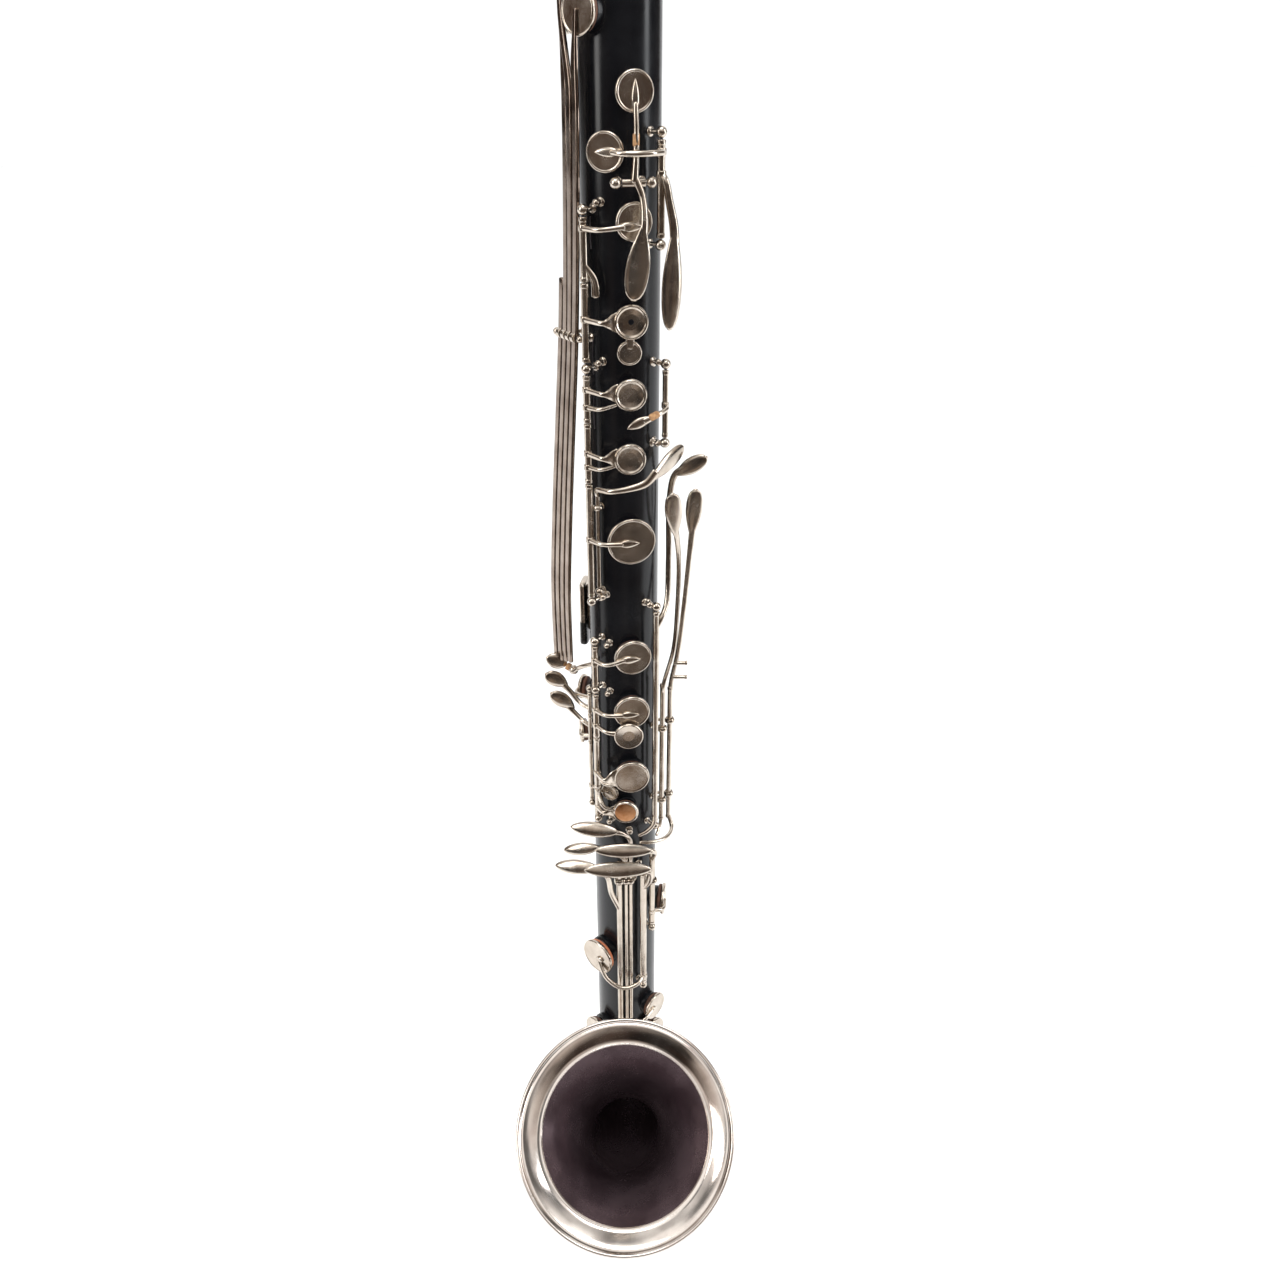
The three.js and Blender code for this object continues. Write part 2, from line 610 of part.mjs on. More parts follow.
// ---------------------------------------------------------------- thumb keys on the back
{
  const hinge = upright(146, ROD, 165, 140);
  post(at(ROD, 146, 167.5));
  post(at(ROD, 146, 137.5));
  const disc = plainCup(180, 152, 14);
  key("thumb_key", hinge, [tube(hinge), disc, bar(at(ROD, 146, 152), at(21.8, 168, 152), 1.2, 6)], null, -6);
}
{
  const hinge = crosswise(at(22, 158, 206), at(22, -158, 206));
  post(hinge.from);
  post(hinge.to);
  const vent = plainCup(180, 232, 9);
  const arm = wire(
    [at(22.4, 180, 233), at(22.6, 180, 220), at(20.8, 180, 206), at(24, 180, 194), at(25, 180, 184)],
    1.3,
  );
  const touch = spoon(at(25, 180, 190), at(24, 180, 168), 9, 2.4, outward(180));
  key("register_key", hinge, [crossTube(hinge), vent, arm, touch]);
}

// ---------------------------------------------------------------- thumb rest and strap ring
{
  const base = new THREE.BoxGeometry(28, 2, 26).translate(-7.4, 17.9, 12);
  const blade = new THREE.BoxGeometry(4, 13, 36).translate(-19.4, 12.4, 10);
  place("thumb_rest", solid(base).add(solid(blade)), nickel());
}
{
  const ring = new THREE.TorusGeometry(4.6, 1.1, 6, 14).rotateY(Math.PI / 2);
  ring.translate(STRAP_EYE.x, STRAP_EYE.y, STRAP_EYE.z);
  const foot = aim(new THREE.CylinderGeometry(4.2, 4.8, 2.2, 14), at(17.9, 180, STRAP_EYE.z), outward(180));
  place("strap_ring", solid(ring).add(solid(foot)), nickel());
}

// ---------------------------------------------------------------- body
{
  const profile = [
    [BORE_RADIUS, BODY_TOP],
    [BORE_RADIUS, BODY_BOTTOM - TENON_LENGTH],
    [TENON_RADIUS, BODY_BOTTOM - TENON_LENGTH],
    [TENON_RADIUS, BODY_BOTTOM],
    [BODY_RADIUS, BODY_BOTTOM],
    [BODY_RADIUS, BODY_TOP],
    [BORE_RADIUS, BODY_TOP],
  ].map(([radius, height]) => new THREE.Vector2(radius, height));
  const shell = solid(new THREE.LatheGeometry(profile, 24).rotateX(Math.PI / 2));
  const rims = toneHoles.map(({ angle, height, diameter, seat }) =>
    bar(at(12, angle, height), at(seat, angle, height), diameter * 0.4, 8),
  );
  const holes = toneHoles.map(({ angle, height, diameter }) =>
    bar(at(2, angle, height), at(BODY_RADIUS + 4, angle, height), diameter * 0.3, 6),
  );
  let body = joined([shell, ...rims, ...fittings]);
  for (const cut of [...holes, ...clearances]) body = body.subtract(cut);
  place("body", body, blackPlastic());
}

// ---------------------------------------------------------------- bent pieces
// A shape is first made straight along its Y axis. Each point then moves to the same distance
// along a bent centre line: X stays across the instrument and Z turns with the bend.
function bend(geometry, frame) {
  const position = geometry.attributes.position;
  const across = xyz(1, 0, 0);
  for (let index = 0; index < position.count; index += 1) {
    const { point, direction } = frame(position.getY(index));
    const normal = across.clone().cross(direction);
    point.x += position.getX(index);
    point.addScaledVector(normal, position.getZ(index));
    position.setXYZ(index, point.x, point.y, point.z);
  }
  return geometry;
}

// A centre line that starts straight, turns through an arc and ends straight.
function bentLine(start, heading, sideways, straight, arcRadius, turnDegrees) {
  const arcLength = arcRadius * radians(turnDegrees);
  return (distance) => {
    const turned = Math.min(Math.max((distance - straight) / arcLength, 0), 1) * radians(turnDegrees);
    const direction = heading.clone().multiplyScalar(Math.cos(turned));
    direction.addScaledVector(sideways, Math.sin(turned));
    const point = start.clone().addScaledVector(heading, Math.min(distance, straight));
    point.addScaledVector(heading, arcRadius * Math.sin(turned));
    point.addScaledVector(sideways, arcRadius * (1 - Math.cos(turned)));
    point.addScaledVector(direction, Math.max(distance - straight - arcLength, 0));
    return { point, direction };
  };
}

function turned(profile, sides) {
  const points = profile.map(([along, radius]) => new THREE.Vector2(radius, along));
  return new THREE.LatheGeometry([...points, points[0]], sides);
}

const BACK = xyz(0, 1, 0);
const FRONT = xyz(0, -1, 0);
const DOWN = xyz(0, 0, -1);

// ---------------------------------------------------------------- bell
// The bow is a bent tube in two lengths. The rear one has a sleeve that takes the body's tenon, and
// the flared bell is soldered to the front one's end.
{
  const start = new THREE.Vector3(0, 0, BODY_BOTTOM - GAP);
  const line = bentLine(start, DOWN, FRONT, BELL_DROP, BELL_ARC_RADIUS, BELL_TURN);
  const bowEnd = BELL_DROP + BELL_ARC_RADIUS * radians(BELL_TURN);
  const flareStart = bowEnd + GAP;
  const mouth = bowEnd + BELL_FLARE;
  const crease = 0.785 * BELL_MOUTH_R;
  const bowRadius = (share) => 16.2 + 4.6 * share;
  const flareRadius = (share) => bowRadius(1) + (crease - bowRadius(1)) * (0.35 * share + 0.65 * share ** 3);
  const thinned = (points) => points.map(([along, radius]) => [along, radius - BELL_WALL]).reverse();
  const bow = (from, to) => {
    const points = [];
    for (let step = 0; step <= 4; step += 1) {
      const along = THREE.MathUtils.lerp(from, to, step / 4);
      points.push([along, bowRadius((along - BELL_DROP) / (bowEnd - BELL_DROP))]);
    }
    return points;
  };

  const seam = (BELL_DROP + bowEnd) / 2;
  const rear = bow(BELL_DROP, seam);
  const collar = [[0, 18], [6, 18], [7, 16.2]];
  const socketEnd = TENON_LENGTH + 1;
  const socket = [[socketEnd, 15.1], [socketEnd, TENON_RADIUS + GAP], [0, TENON_RADIUS + GAP]];
  const sleeved = turned([...collar, ...rear, ...thinned(rear), ...socket], 24);
  place("bell_bow_rear", solid(bend(sleeved, line)), nickel());

  const front = bow(seam + GAP, bowEnd);
  place("bell_bow", solid(bend(turned([...front, ...thinned(front)], 24), line)), nickel());

  const flare = [[flareStart, bowRadius(1)]];
  for (let step = 1; step <= 5; step += 1) {
    flare.push([flareStart + (BELL_FLARE - 7) * (step / 5), flareRadius(step / 5)]);
  }
  const rim = [[mouth - 2.6, BELL_MOUTH_R - 3], [mouth - 1.4, BELL_MOUTH_R], [mouth, BELL_MOUTH_R - 0.6]];
  const inside = thinned([...flare.slice(1), rim[0]]).map(([along, radius]) => [along + 0.6, radius]);
  const profile = [...flare, ...rim, ...inside, ...thinned(flare.slice(0, 1))];
  place("bell", solid(bend(turned(profile, 24), line)), nickel());
}

// ---------------------------------------------------------------- neck and mouthpiece
{
  const start = new THREE.Vector3(0, 0, BODY_TOP + GAP);
  const line = bentLine(start, UP, BACK, NECK_RISE, NECK_ARC_RADIUS, NECK_TURN);
  const end = NECK_RISE + NECK_ARC_RADIUS * radians(NECK_TURN) + NECK_END;
  const bore = 7;
  const corkStart = end - 21;
  const tenon = 7.9;
  const outside = [[-12, 8.6], [0, 8.6], [0, 14.6], [9, 14.6], [10, NECK_BOTTOM_R]];
  for (let step = 0; step <= 5; step += 1) {
    const share = step / 5;
    const radius = THREE.MathUtils.lerp(NECK_BOTTOM_R, NECK_TOP_R, share ** 0.7);
    outside.push([THREE.MathUtils.lerp(NECK_RISE, corkStart - 8, share), radius]);
  }
  outside.push([corkStart - 6, 10.6], [corkStart - GAP, 10.6], [corkStart - GAP, tenon], [end, tenon]);
  const inside = outside.slice(5, -3).reverse().map(([along]) => [along, bore]);
  const profile = [...outside, [end, bore], ...inside, [-12, bore]];
  place("neck", solid(bend(turned(profile, 14), line)), nickel());

  const sleeve = [[corkStart, tenon + GAP], [corkStart, 9.6], [end - 1, 9.6], [end - 1, tenon + GAP]];
  place("neck_cork", solid(bend(turned(sleeve, 16), line)), cork());

  const shank = corkStart + 1;
  const tip = shank + 88;
  const table = -11.2;
  const outer = [[shank, 14.2], [shank + 2, 15], [shank + 30, 15], [shank + 42, 14.4], [tip, 9]];
  const inner = [[tip - 6, 4.5], [shank + 60, 6], [shank + 24, 6.8], [shank + 24, 9.9], [shank, 9.9]];
  const block = (along, length, low, high, width) =>
    new THREE.BoxGeometry(width, length, high - low).translate(0, along + length / 2, (low + high) / 2);
  const beakSlope = Math.atan2(22, 46);
  const beak = block(0, 70, 0, 30, 40).rotateX(-beakSlope).translate(0, shank + 42, 13.4);
  const mouthpiece = solid(turned([...outer, ...inner], 18))
    .subtract(solid(block(shank + 16, 90, table - 10, table, 40)))
    .subtract(solid(block(shank + 46, 38, table - 2, 0, 9.5)))
    .subtract(solid(beak));
  place("mouthpiece", solid(bend(geometryOf(mouthpiece), line)), blackPlastic());

  const reedSide = new THREE.Shape([
    new THREE.Vector2(shank + 18, table - GAP - 2.2),
    new THREE.Vector2(shank + 50, table - GAP - 2.0),
    new THREE.Vector2(tip - 1, table - GAP - 0.4),
    new THREE.Vector2(tip - 1, table - GAP),
    new THREE.Vector2(shank + 18, table - GAP),
  ]);
  const reed = new THREE.ExtrudeGeometry(reedSide, { depth: 12, bevelEnabled: false });
  reed.applyMatrix4(new THREE.Matrix4().set(0, 0, 1, -6, 1, 0, 0, 0, 0, 1, 0, 0, 0, 0, 0, 1));
  place("reed", solid(bend(reed, line)), cane());

  const bandStart = shank + 8;
  const bandEnd = shank + 30;
  const band = [[bandStart, 15.3], [bandStart, 16.2], [bandEnd, 16.2], [bandEnd, 15.3]];
  const lugs = [-4.6, 1.6].map((x) =>
    solid(block(bandStart + 1, bandEnd - bandStart - 2, -20, -15.6, 3).translate(x + 1.5, 0, 0)),
  );
  const screwLine = (along, radius, from, to) => {
    const shaft = new THREE.CylinderGeometry(radius, radius, to - from, 8).rotateZ(Math.PI / 2);
    return solid(shaft.translate((from + to) / 2, along, -18));
  };
  let ligature = solid(turned(band, 18)).add(lugs[0]).add(lugs[1]);
  for (const along of [bandStart + 5, bandEnd - 5]) {
    ligature = ligature.add(screwLine(along, 1.0, -5.5, 7)).add(screwLine(along, 3.4, 6.4, 8.4));
  }
  place("ligature", solid(bend(geometryOf(ligature), line)), nickel());
}

export default instrument;
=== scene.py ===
"""Looks of the alto clarinet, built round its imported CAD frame.

Shapes are given in millimetres on the body's own axes: Z runs up the body's axis, -Y is the front, and
angles are measured round the body from the front towards +X. Shape.made() turns them into the frame's metres.
"""

import json
import math

import bmesh
import bpy
import numpy as np
from mathutils import Matrix, Vector


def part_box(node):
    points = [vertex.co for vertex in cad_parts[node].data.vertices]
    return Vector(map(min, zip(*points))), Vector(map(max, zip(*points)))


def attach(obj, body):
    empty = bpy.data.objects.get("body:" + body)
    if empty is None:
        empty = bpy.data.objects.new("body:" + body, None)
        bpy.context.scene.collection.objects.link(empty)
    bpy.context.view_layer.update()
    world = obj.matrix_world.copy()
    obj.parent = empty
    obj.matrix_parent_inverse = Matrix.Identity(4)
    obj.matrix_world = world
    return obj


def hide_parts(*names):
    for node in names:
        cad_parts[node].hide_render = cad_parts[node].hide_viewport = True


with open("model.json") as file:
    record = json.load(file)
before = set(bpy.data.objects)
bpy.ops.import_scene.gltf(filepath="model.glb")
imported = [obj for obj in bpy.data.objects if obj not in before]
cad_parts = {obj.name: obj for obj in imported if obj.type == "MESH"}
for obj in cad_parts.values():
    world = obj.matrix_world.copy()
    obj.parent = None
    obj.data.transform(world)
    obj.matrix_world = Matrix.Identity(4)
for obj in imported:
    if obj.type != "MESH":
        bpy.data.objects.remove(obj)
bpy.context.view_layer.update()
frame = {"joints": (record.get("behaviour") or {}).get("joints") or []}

# ---- sizes from the frame and the design
BODY_LOW, BODY_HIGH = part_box("body")
STRAP_EYE = np.array([0.0, 24.5, 50.0])  # the frame's origin, on the body's own axes
BODY_RADIUS = 16.5
BORE_RADIUS = 9.0
BODY_TOP = BODY_HIGH.z * 1000 + STRAP_EYE[2]
TENON_LENGTH = 12.0
BODY_BOTTOM = BODY_LOW.z * 1000 + STRAP_EYE[2] + TENON_LENGTH
TENON_RADIUS = 13.8
GAP = 0.3
SEAT = 18.0  # radius of the flat rim round each tone hole
PAD_THICK = 1.8
THIN_PAD = 0.9
CUP_THICK = 1.9
ROD = 22.5  # distance of the long hinge tubes from the body's axis
INNER_ROD = 20.0
TUBE_R = 1.6
THIN_TUBE_R = 0.95
LEVER_TUBE_R = 1.3  # tubes of the second and third little-finger levers
BALL_R = 2.2
CUP_TOP = SEAT + GAP + PAD_THICK + GAP + CUP_THICK
HINGES = {j["child"]: j for j in frame["joints"]}
ROOT = "instrument"


# ---- placing
def vec(*xyz):
    return np.array(xyz, float)


UP = vec(0, 0, 1)


def unit(v):
    return v / np.linalg.norm(v)


def at(distance, angle, height):
    """The point at a distance from the body's axis, at an angle from the front, at a height."""
    turn = math.radians(angle)
    return vec(distance * math.sin(turn), -distance * math.cos(turn), height)


def outward(angle):
    return at(1, angle, 0)


def mix(a, b, share):
    return a + (b - a) * share


def curve(points, per_span):
    """Points along a smooth curve through a list, and each one's place in the list."""
    p = [np.asarray(q, float) for q in points]
    if len(p) == 2:
        shares = np.linspace(0, 1, per_span + 1)
        return np.array([mix(p[0], p[1], s) for s in shares]), shares
    p = [2 * p[0] - p[1]] + p + [2 * p[-1] - p[-2]]
    out, place = [], []
    for i in range(1, len(p) - 2):
        a, b, c, d = p[i - 1 : i + 3]
        t0, t1, t2 = (max(np.linalg.norm(v), 1e-4) ** 0.5 for v in (b - a, c - b, d - c))
        leave = ((b - a) / t0 - (c - a) / (t0 + t1) + (c - b) / t1) * t1
        reach = ((c - b) / t1 - (d - b) / (t1 + t2) + (d - c) / t2) * t1
        last = i == len(p) - 3
        for k in range(per_span + (1 if last else 0)):
            s = k / per_span
            h = (2 * s**3 - 3 * s**2 + 1, s**3 - 2 * s**2 + s, 3 * s**2 - 2 * s**3, s**3 - s**2)
            out.append(h[0] * b + h[1] * leave + h[2] * c + h[3] * reach)
            place.append(i - 1 + s)
    return np.array(out), np.array(place)


def eased(profile, cut):
    """A profile with each inner corner rounded off over a length."""
    p = [vec(*q) for q in profile]
    out = [p[0]]
    for before, corner, after in zip(p, p[1:], p[2:]):
        a, b = before - corner, after - corner
        la, lb = np.linalg.norm(a), np.linalg.norm(b)
        turn = 1 - abs(np.dot(a, b)) / max(la * lb, 1e-9)
        if turn < 0.01:
            out.append(corner)
            continue
        start, end = corner + a / la * min(cut, la / 2.2), corner + b / lb * min(cut, lb / 2.2)
        for s in (0, 0.33, 0.67, 1):
            out.append(mix(mix(start, corner, s), mix(corner, end, s), s))
    return out + [p[-1]]


# ---- solids
END_STEPS = (0.98, 0.8, 0.45)  # how far out the rings of a bar's rounded end lie


class Shape:
    """A piece made of closed shells, each with a material."""

    def __init__(self):
        self.verts, self.faces, self.slots, self.names = [], [], [], []

    def add(self, verts, faces, material):
        materials = [material] * len(faces) if isinstance(material, str) else material
        for name in dict.fromkeys(materials):
            if name not in self.names:
                self.names.append(name)
        base = len(self.verts)
        self.verts.extend(np.asarray(v, float) for v in verts)
        self.faces.extend([base + i for i in f] for f in faces)
        self.slots.extend(self.names.index(name) for name in materials)
        return self

    def rings(self, rings, material, closed=False):
        """A skin over a list of rings of points, with flat ends, or joined end to end. material is one name
        or, for a skin joined end to end, one for each span."""
        sides = len(rings[0])
        verts = [q for ring in rings for q in ring]
        faces = []
        last = len(rings) if closed else len(rings) - 1
        for i in range(last):
            a, b = i * sides, (i + 1) % len(rings) * sides
            for k in range(sides):
                n = (k + 1) % sides
                faces.append((a + k, a + n, b + n, b + k))
        if not isinstance(material, str):
            material = [name for name in material for _ in range(sides)]
        if not closed:
            for first, flip in ((0, True), ((len(rings) - 1) * sides, False)):
                centre = len(verts)
                verts.append(np.mean(verts[first : first + sides], axis=0))
                for k in range(sides):
                    pair = (first + k, first + (k + 1) % sides)
                    faces.append((centre, *(pair[::-1] if flip else pair)))
        return self.add(verts, faces, material)

    def turned(self, origin, axis, profile, sides=32, material="nickel", closed=False):
        """A turned solid: profile holds (radius, height) pairs along the axis."""
        z = unit(np.asarray(axis, float))
        x = unit(np.cross(z, UP if abs(z[2]) < 0.9 else vec(1, 0, 0)))
        y = np.cross(z, x)
        turn = np.linspace(0, 2 * math.pi, sides, endpoint=False)
        rings = []
        for radius, height in profile:
            around = np.outer(np.cos(turn), x) + np.outer(np.sin(turn), y)
            rings.append(origin + z * height + around * max(radius, 0.004))
        return self.rings(rings, material, closed)

    def sweep(self, path, size, face=None, sides=16, per_span=8, square=2.0, material="nickel"):
        """A bar along a curve with rounded ends. size is one radius, a (width, thickness) pair, or one
        of these for each point of the path. Its thickness lies along face, or outward from the body."""
        line, place = curve(path, per_span)
        if np.isscalar(size):
            size = (2 * size, 2 * size)
        if np.isscalar(size[0]) and len(size) == 2:
            size = [size] * len(path)
        size = np.array([(2 * s, 2 * s) if np.isscalar(s) else s for s in size], float)
        index = np.arange(len(path)) if len(path) > 2 else np.array([0.0, 1.0])
        wide = np.interp(place, index, size[:, 0]) / 2
        thick = np.interp(place, index, size[:, 1]) / 2
        return self.ribbon(line, wide, thick, face, sides, square, material)

    def ribbon(self, line, wide, thick, face, sides, square, material):
        """A bar along a line. wide and thick are half its width and half its thickness at each point."""
        turn = np.linspace(0, 2 * math.pi, sides, endpoint=False)
        c, s = np.cos(turn), np.sin(turn)
        power = 2 / square
        across, up = np.sign(c) * np.abs(c) ** power, np.sign(s) * np.abs(s) ** power
        tangent = np.gradient(line, axis=0)
        tangent /= np.linalg.norm(tangent, axis=1)[:, None]
        axes, normal = [], None
        for point, along in zip(line, tangent):
            wanted = face if face is not None else vec(point[0], point[1], 0)
            flat = wanted - along * np.dot(wanted, along)
            if np.linalg.norm(flat) < 0.35 * np.linalg.norm(wanted) and normal is not None:
                flat = normal - along * np.dot(normal, along)
            if np.linalg.norm(flat) < 1e-3:
                flat = np.cross(along, vec(1, 0.3, 0.2))
            normal = unit(flat)
            axes.append((np.cross(along, normal), normal))

        def outline(i, out=0.0):
            """The outline at a point, or the smaller one that rounds an end off, out beyond the point."""
            side, normal = axes[i]
            k = math.sqrt(1 - out * out)
            centre = line[i] + tangent[i] * out * min(wide[i], thick[i])
            return centre + np.outer(across * wide[i] * k, side) + np.outer(up * thick[i] * k, normal)

        skin = [outline(0, -out) for out in END_STEPS]
        skin += [outline(i) for i in range(len(line))]
        skin += [outline(-1, out) for out in END_STEPS[::-1]]
        return self.rings(skin, material)

    def leaf(self, start, end, width, thick, face, taper=0.75, rise=0.0, fat=0.5, blunt=None):
        """A pointed oval plate between two points, its back arched by rise, widest at a share fat. Its
        first end is rounder if blunt is less than taper."""
        share = np.linspace(0, 1, 30)
        t = 0.5 - 0.495 * np.cos(math.pi * share)
        bent = t ** (math.log(0.5) / math.log(fat))
        power = np.where(t < fat, taper if blunt is None else blunt, taper)
        shape = np.sin(math.pi * bent) ** power
        normal = unit(np.asarray(face, float))
        line = start + np.outer(t, end - start) + np.outer(np.sin(math.pi * t) * rise, normal)
        return self.ribbon(line, width / 2 * shape, thick / 2 * shape**0.5, face, 20, 2.3, "nickel")

    def made(self, name, turn=None):
        """The finished object, turned from its closed place to where it rests if turn is given."""
        mesh = bpy.data.meshes.new(name)
        points = (np.array(self.verts) - STRAP_EYE) / 1000
        mesh.from_pydata([tuple(p) for p in points], [], self.faces)
        for material in self.names:
            mesh.materials.append(MATERIALS[material])
        mesh.polygons.foreach_set("material_index", self.slots)
        if turn is not None:
            mesh.transform(turn)
        b = bmesh.new()
        b.from_mesh(mesh)
        bmesh.ops.remove_doubles(b, verts=b.verts, dist=2e-6)
        bmesh.ops.dissolve_degenerate(b, edges=b.edges, dist=1e-6)
        bmesh.ops.recalc_face_normals(b, faces=b.faces)
        for edge in b.edges:
            edge.smooth = len(edge.link_faces) == 2 and edge.calc_face_angle(0) < math.radians(34)
        for f in b.faces:
            f.smooth = True
        b.to_mesh(mesh)
        b.free()
        obj = bpy.data.objects.new(name, mesh)
        bpy.context.scene.collection.objects.link(obj)
        return obj


# ---- materials
def node(nodes, kind, **inputs):
    made = nodes.new(kind)
    for name, value in inputs.items():
        made.inputs[name.replace("_", " ")].default_value = value
    return made


def colour_ramp(nodes, stops):
    """A ramp through (position, colour) stops."""
    made = nodes.new("ShaderNodeValToRGB")
    for _ in stops[2:]:
        made.color_ramp.elements.new(0.5)
    for element, (position, colour) in zip(made.color_ramp.elements, stops):
        element.position = position
        element.color = (*colour, 1)
    return made


def finish_material(name, colours, roughness, metallic=0.0, patch=120.0, grain=1800.0, bump=0.1, shine=0.5):
    """A surface whose colour runs over a ramp and whose roughness wanders between two values."""
    made = bpy.data.materials.new(name)
    made.use_nodes = True
    tree = made.node_tree
    nodes, link = tree.nodes, tree.links.new
    shader = nodes["Principled BSDF"]
    shader.inputs["Metallic"].default_value = metallic
    shader.inputs["Specular IOR Level"].default_value = shine
    place = nodes.new("ShaderNodeTexCoord")
    blotch = node(nodes, "ShaderNodeTexNoise", Scale=patch, Detail=4.0, Roughness=0.6)
    fine = node(nodes, "ShaderNodeTexNoise", Scale=grain, Detail=3.0, Roughness=0.7)
    link(place.outputs["Object"], blotch.inputs["Vector"])
    link(place.outputs["Object"], fine.inputs["Vector"])
    ramp = colour_ramp(nodes, tuple(zip((0.32, 0.66), colours)))
    link(blotch.outputs["Fac"], ramp.inputs["Fac"])
    link(ramp.outputs["Color"], shader.inputs["Base Color"])
    both = nodes.new("ShaderNodeMath")
    both.operation = "MULTIPLY_ADD"
    both.inputs[1].default_value = 0.35
    link(fine.outputs["Fac"], both.inputs[0])
    link(blotch.outputs["Fac"], both.inputs[2])
    rough = node(
        nodes, "ShaderNodeMapRange", From_Min=0.4, From_Max=0.95, To_Min=roughness[0], To_Max=roughness[1]
    )
    link(both.outputs[0], rough.inputs["Value"])
    link(rough.outputs[0], shader.inputs["Roughness"])
    relief = node(nodes, "ShaderNodeBump", Strength=bump, Distance=0.0001)
    link(fine.outputs["Fac"], relief.inputs["Height"])
    link(relief.outputs["Normal"], shader.inputs["Normal"])
    return made


# For each: its name, dark and light colours, least and most roughness, then finish_material's other values.
FINISHES = {
    "nickel": ("nickel_plate", ((0.48, 0.41, 0.34), (0.68, 0.61, 0.53)), (0.12, 0.30), 1.0, 110, 2400, 0.05),
    # The side levers are the same nickel plate as the other keys; their darker colours are painted shade, the
    # dark room's reflection painted in.
    "lever": ("lever_plate_painted_shade", ((0.20, 0.15, 0.12), (0.40, 0.33, 0.28)),
        (0.10, 0.26), 1.0, 90, 2400, 0.05),
    "steel": ("blued_steel", ((0.07, 0.07, 0.09), (0.16, 0.15, 0.16)), (0.25, 0.45), 1.0, 300, 3000, 0.05),
    "bell": ("bell_plate", ((0.56, 0.49, 0.45), (0.72, 0.66, 0.61)), (0.07, 0.20), 1.0, 45, 1500, 0.04),
    # The inside of the bell is darkened by painted shade and a painted dark reflection.
    "bell_inside": ("bell_inside_painted_shade", ((0.060, 0.038, 0.044), (0.135, 0.095, 0.105)),
        (0.18, 0.34), 0.75, 30, 900, 0.10),
    "copper": ("worn_plate", ((0.36, 0.14, 0.05), (0.62, 0.33, 0.17)), (0.25, 0.45), 1.0, 160, 2400, 0.08),
    "black": ("black_body", ((0.003, 0.003, 0.004), (0.006, 0.0065, 0.008)),
        (0.16, 0.28), 0.0, 55, 1600, 0.05, 0.32),
    "rubber": ("black_rubber", ((0.010, 0.009, 0.008), (0.018, 0.017, 0.016)),
        (0.20, 0.36), 0.0, 80, 1500, 0.06),
    "pad": ("skin_pad", ((0.55, 0.16, 0.07), (0.72, 0.27, 0.13)), (0.55, 0.8), 0.0, 240, 1400, 0.35),
    "worn_pad": ("worn_skin_pad", ((0.07, 0.032, 0.02), (0.17, 0.075, 0.045)),
        (0.6, 0.85), 0.0, 240, 1400, 0.35),
    "cork": ("cork", ((0.22, 0.11, 0.05), (0.46, 0.26, 0.12)), (0.7, 0.95), 0.0, 900, 2200, 0.8),
    "cane": ("reed_cane", ((0.66, 0.48, 0.22), (0.80, 0.64, 0.36)), (0.5, 0.7), 0.0, 200, 1800, 0.3),
}
MATERIALS = {name: finish_material(*values) for name, values in FINISHES.items()}

# ---- posts
posts = Shape()
springs = Shape()


def ball_profile(radius):
    return [(radius * math.sin(a), -radius * math.cos(a)) for a in np.linspace(0, math.pi, 15)]


def ring(inner, wall, tall):
    """The closed profile of a ring round its own axis."""
    outer = inner + wall
    middle = inner + wall / 2
    return [
        (middle, -tall / 2), (inner, -tall / 2 + 0.3), (inner, tall / 2 - 0.3), (middle, tall / 2),
        (outer, tall / 2 - 0.5), (outer + 0.15, 0), (outer, -tall / 2 + 0.5),
    ]


def post(spot, ball=BALL_R):
    """A turned pillar from the body out to a point, with a ball on its end and a bead below it."""
    out = unit(vec(spot[0], spot[1], 0))
    foot = BODY_RADIUS - 0.4
    neck = math.hypot(spot[0], spot[1]) - 1.0
    profile = [(0, foot), (1.9, foot), (1.9, foot + 0.9), (0.95, foot + 1.3), (0.85, neck), (0, neck)]
    posts.turned(vec(0, 0, spot[2]), out, eased(profile, 0.3), 20)
    posts.turned(spot, out, ball_profile(ball), 24)


def post_foot(angle, reach, height):
    """The pillar of a post whose head is made apart."""
    profile = [(0, 16.1), (1.7, 16.1), (1.7, 16.9), (0.9, 17.2), (0.85, reach), (0, reach)]
    posts.turned(vec(0, 0, height), outward(angle), profile, 20)


def saddle(angle, distance, height, tube_radius):
    """A post with an eye that a tube runs through."""
    eye = ring(tube_radius + GAP, 0.9, 2.6)
    posts.turned(at(distance, angle, height), UP, eye, 28, "nickel", True)
    post_foot(angle, distance - tube_radius - 0.7, height)


def pin(start, axis, radius, length, sides=12):
    """The steel that a tube turns on."""
    posts.turned(start, axis, [(0, 0), (radius, 0), (radius, length), (0, length)], sides, "steel")


def rod(angle, distance, top, bottom, radius=0.62):
    """The pin of a hinge tube that runs along the body, between its posts."""
    pin(at(distance, angle, bottom), UP, radius, top - bottom)


def spring(angle, distance, height, length):
    """A needle spring that runs from a post along the body."""
    start, end = at(distance, angle, height), at(distance + 0.5, angle + 1, height + length)
    path = [start, mix(start, end, 0.5) + outward(angle) * 0.35, end]
    springs.sweep(path, 0.22, sides=8, per_span=5, material="steel")


def on_cup(angle, height, aside, rise=0.0):
    """The point on the flat top of the cup at an angle, moved aside along that flat."""
    turn = math.radians(angle)
    sideways = vec(math.cos(turn), math.sin(turn), 0)
    return outward(angle) * (CUP_TOP + rise) + sideways * aside + vec(0, 0, height)


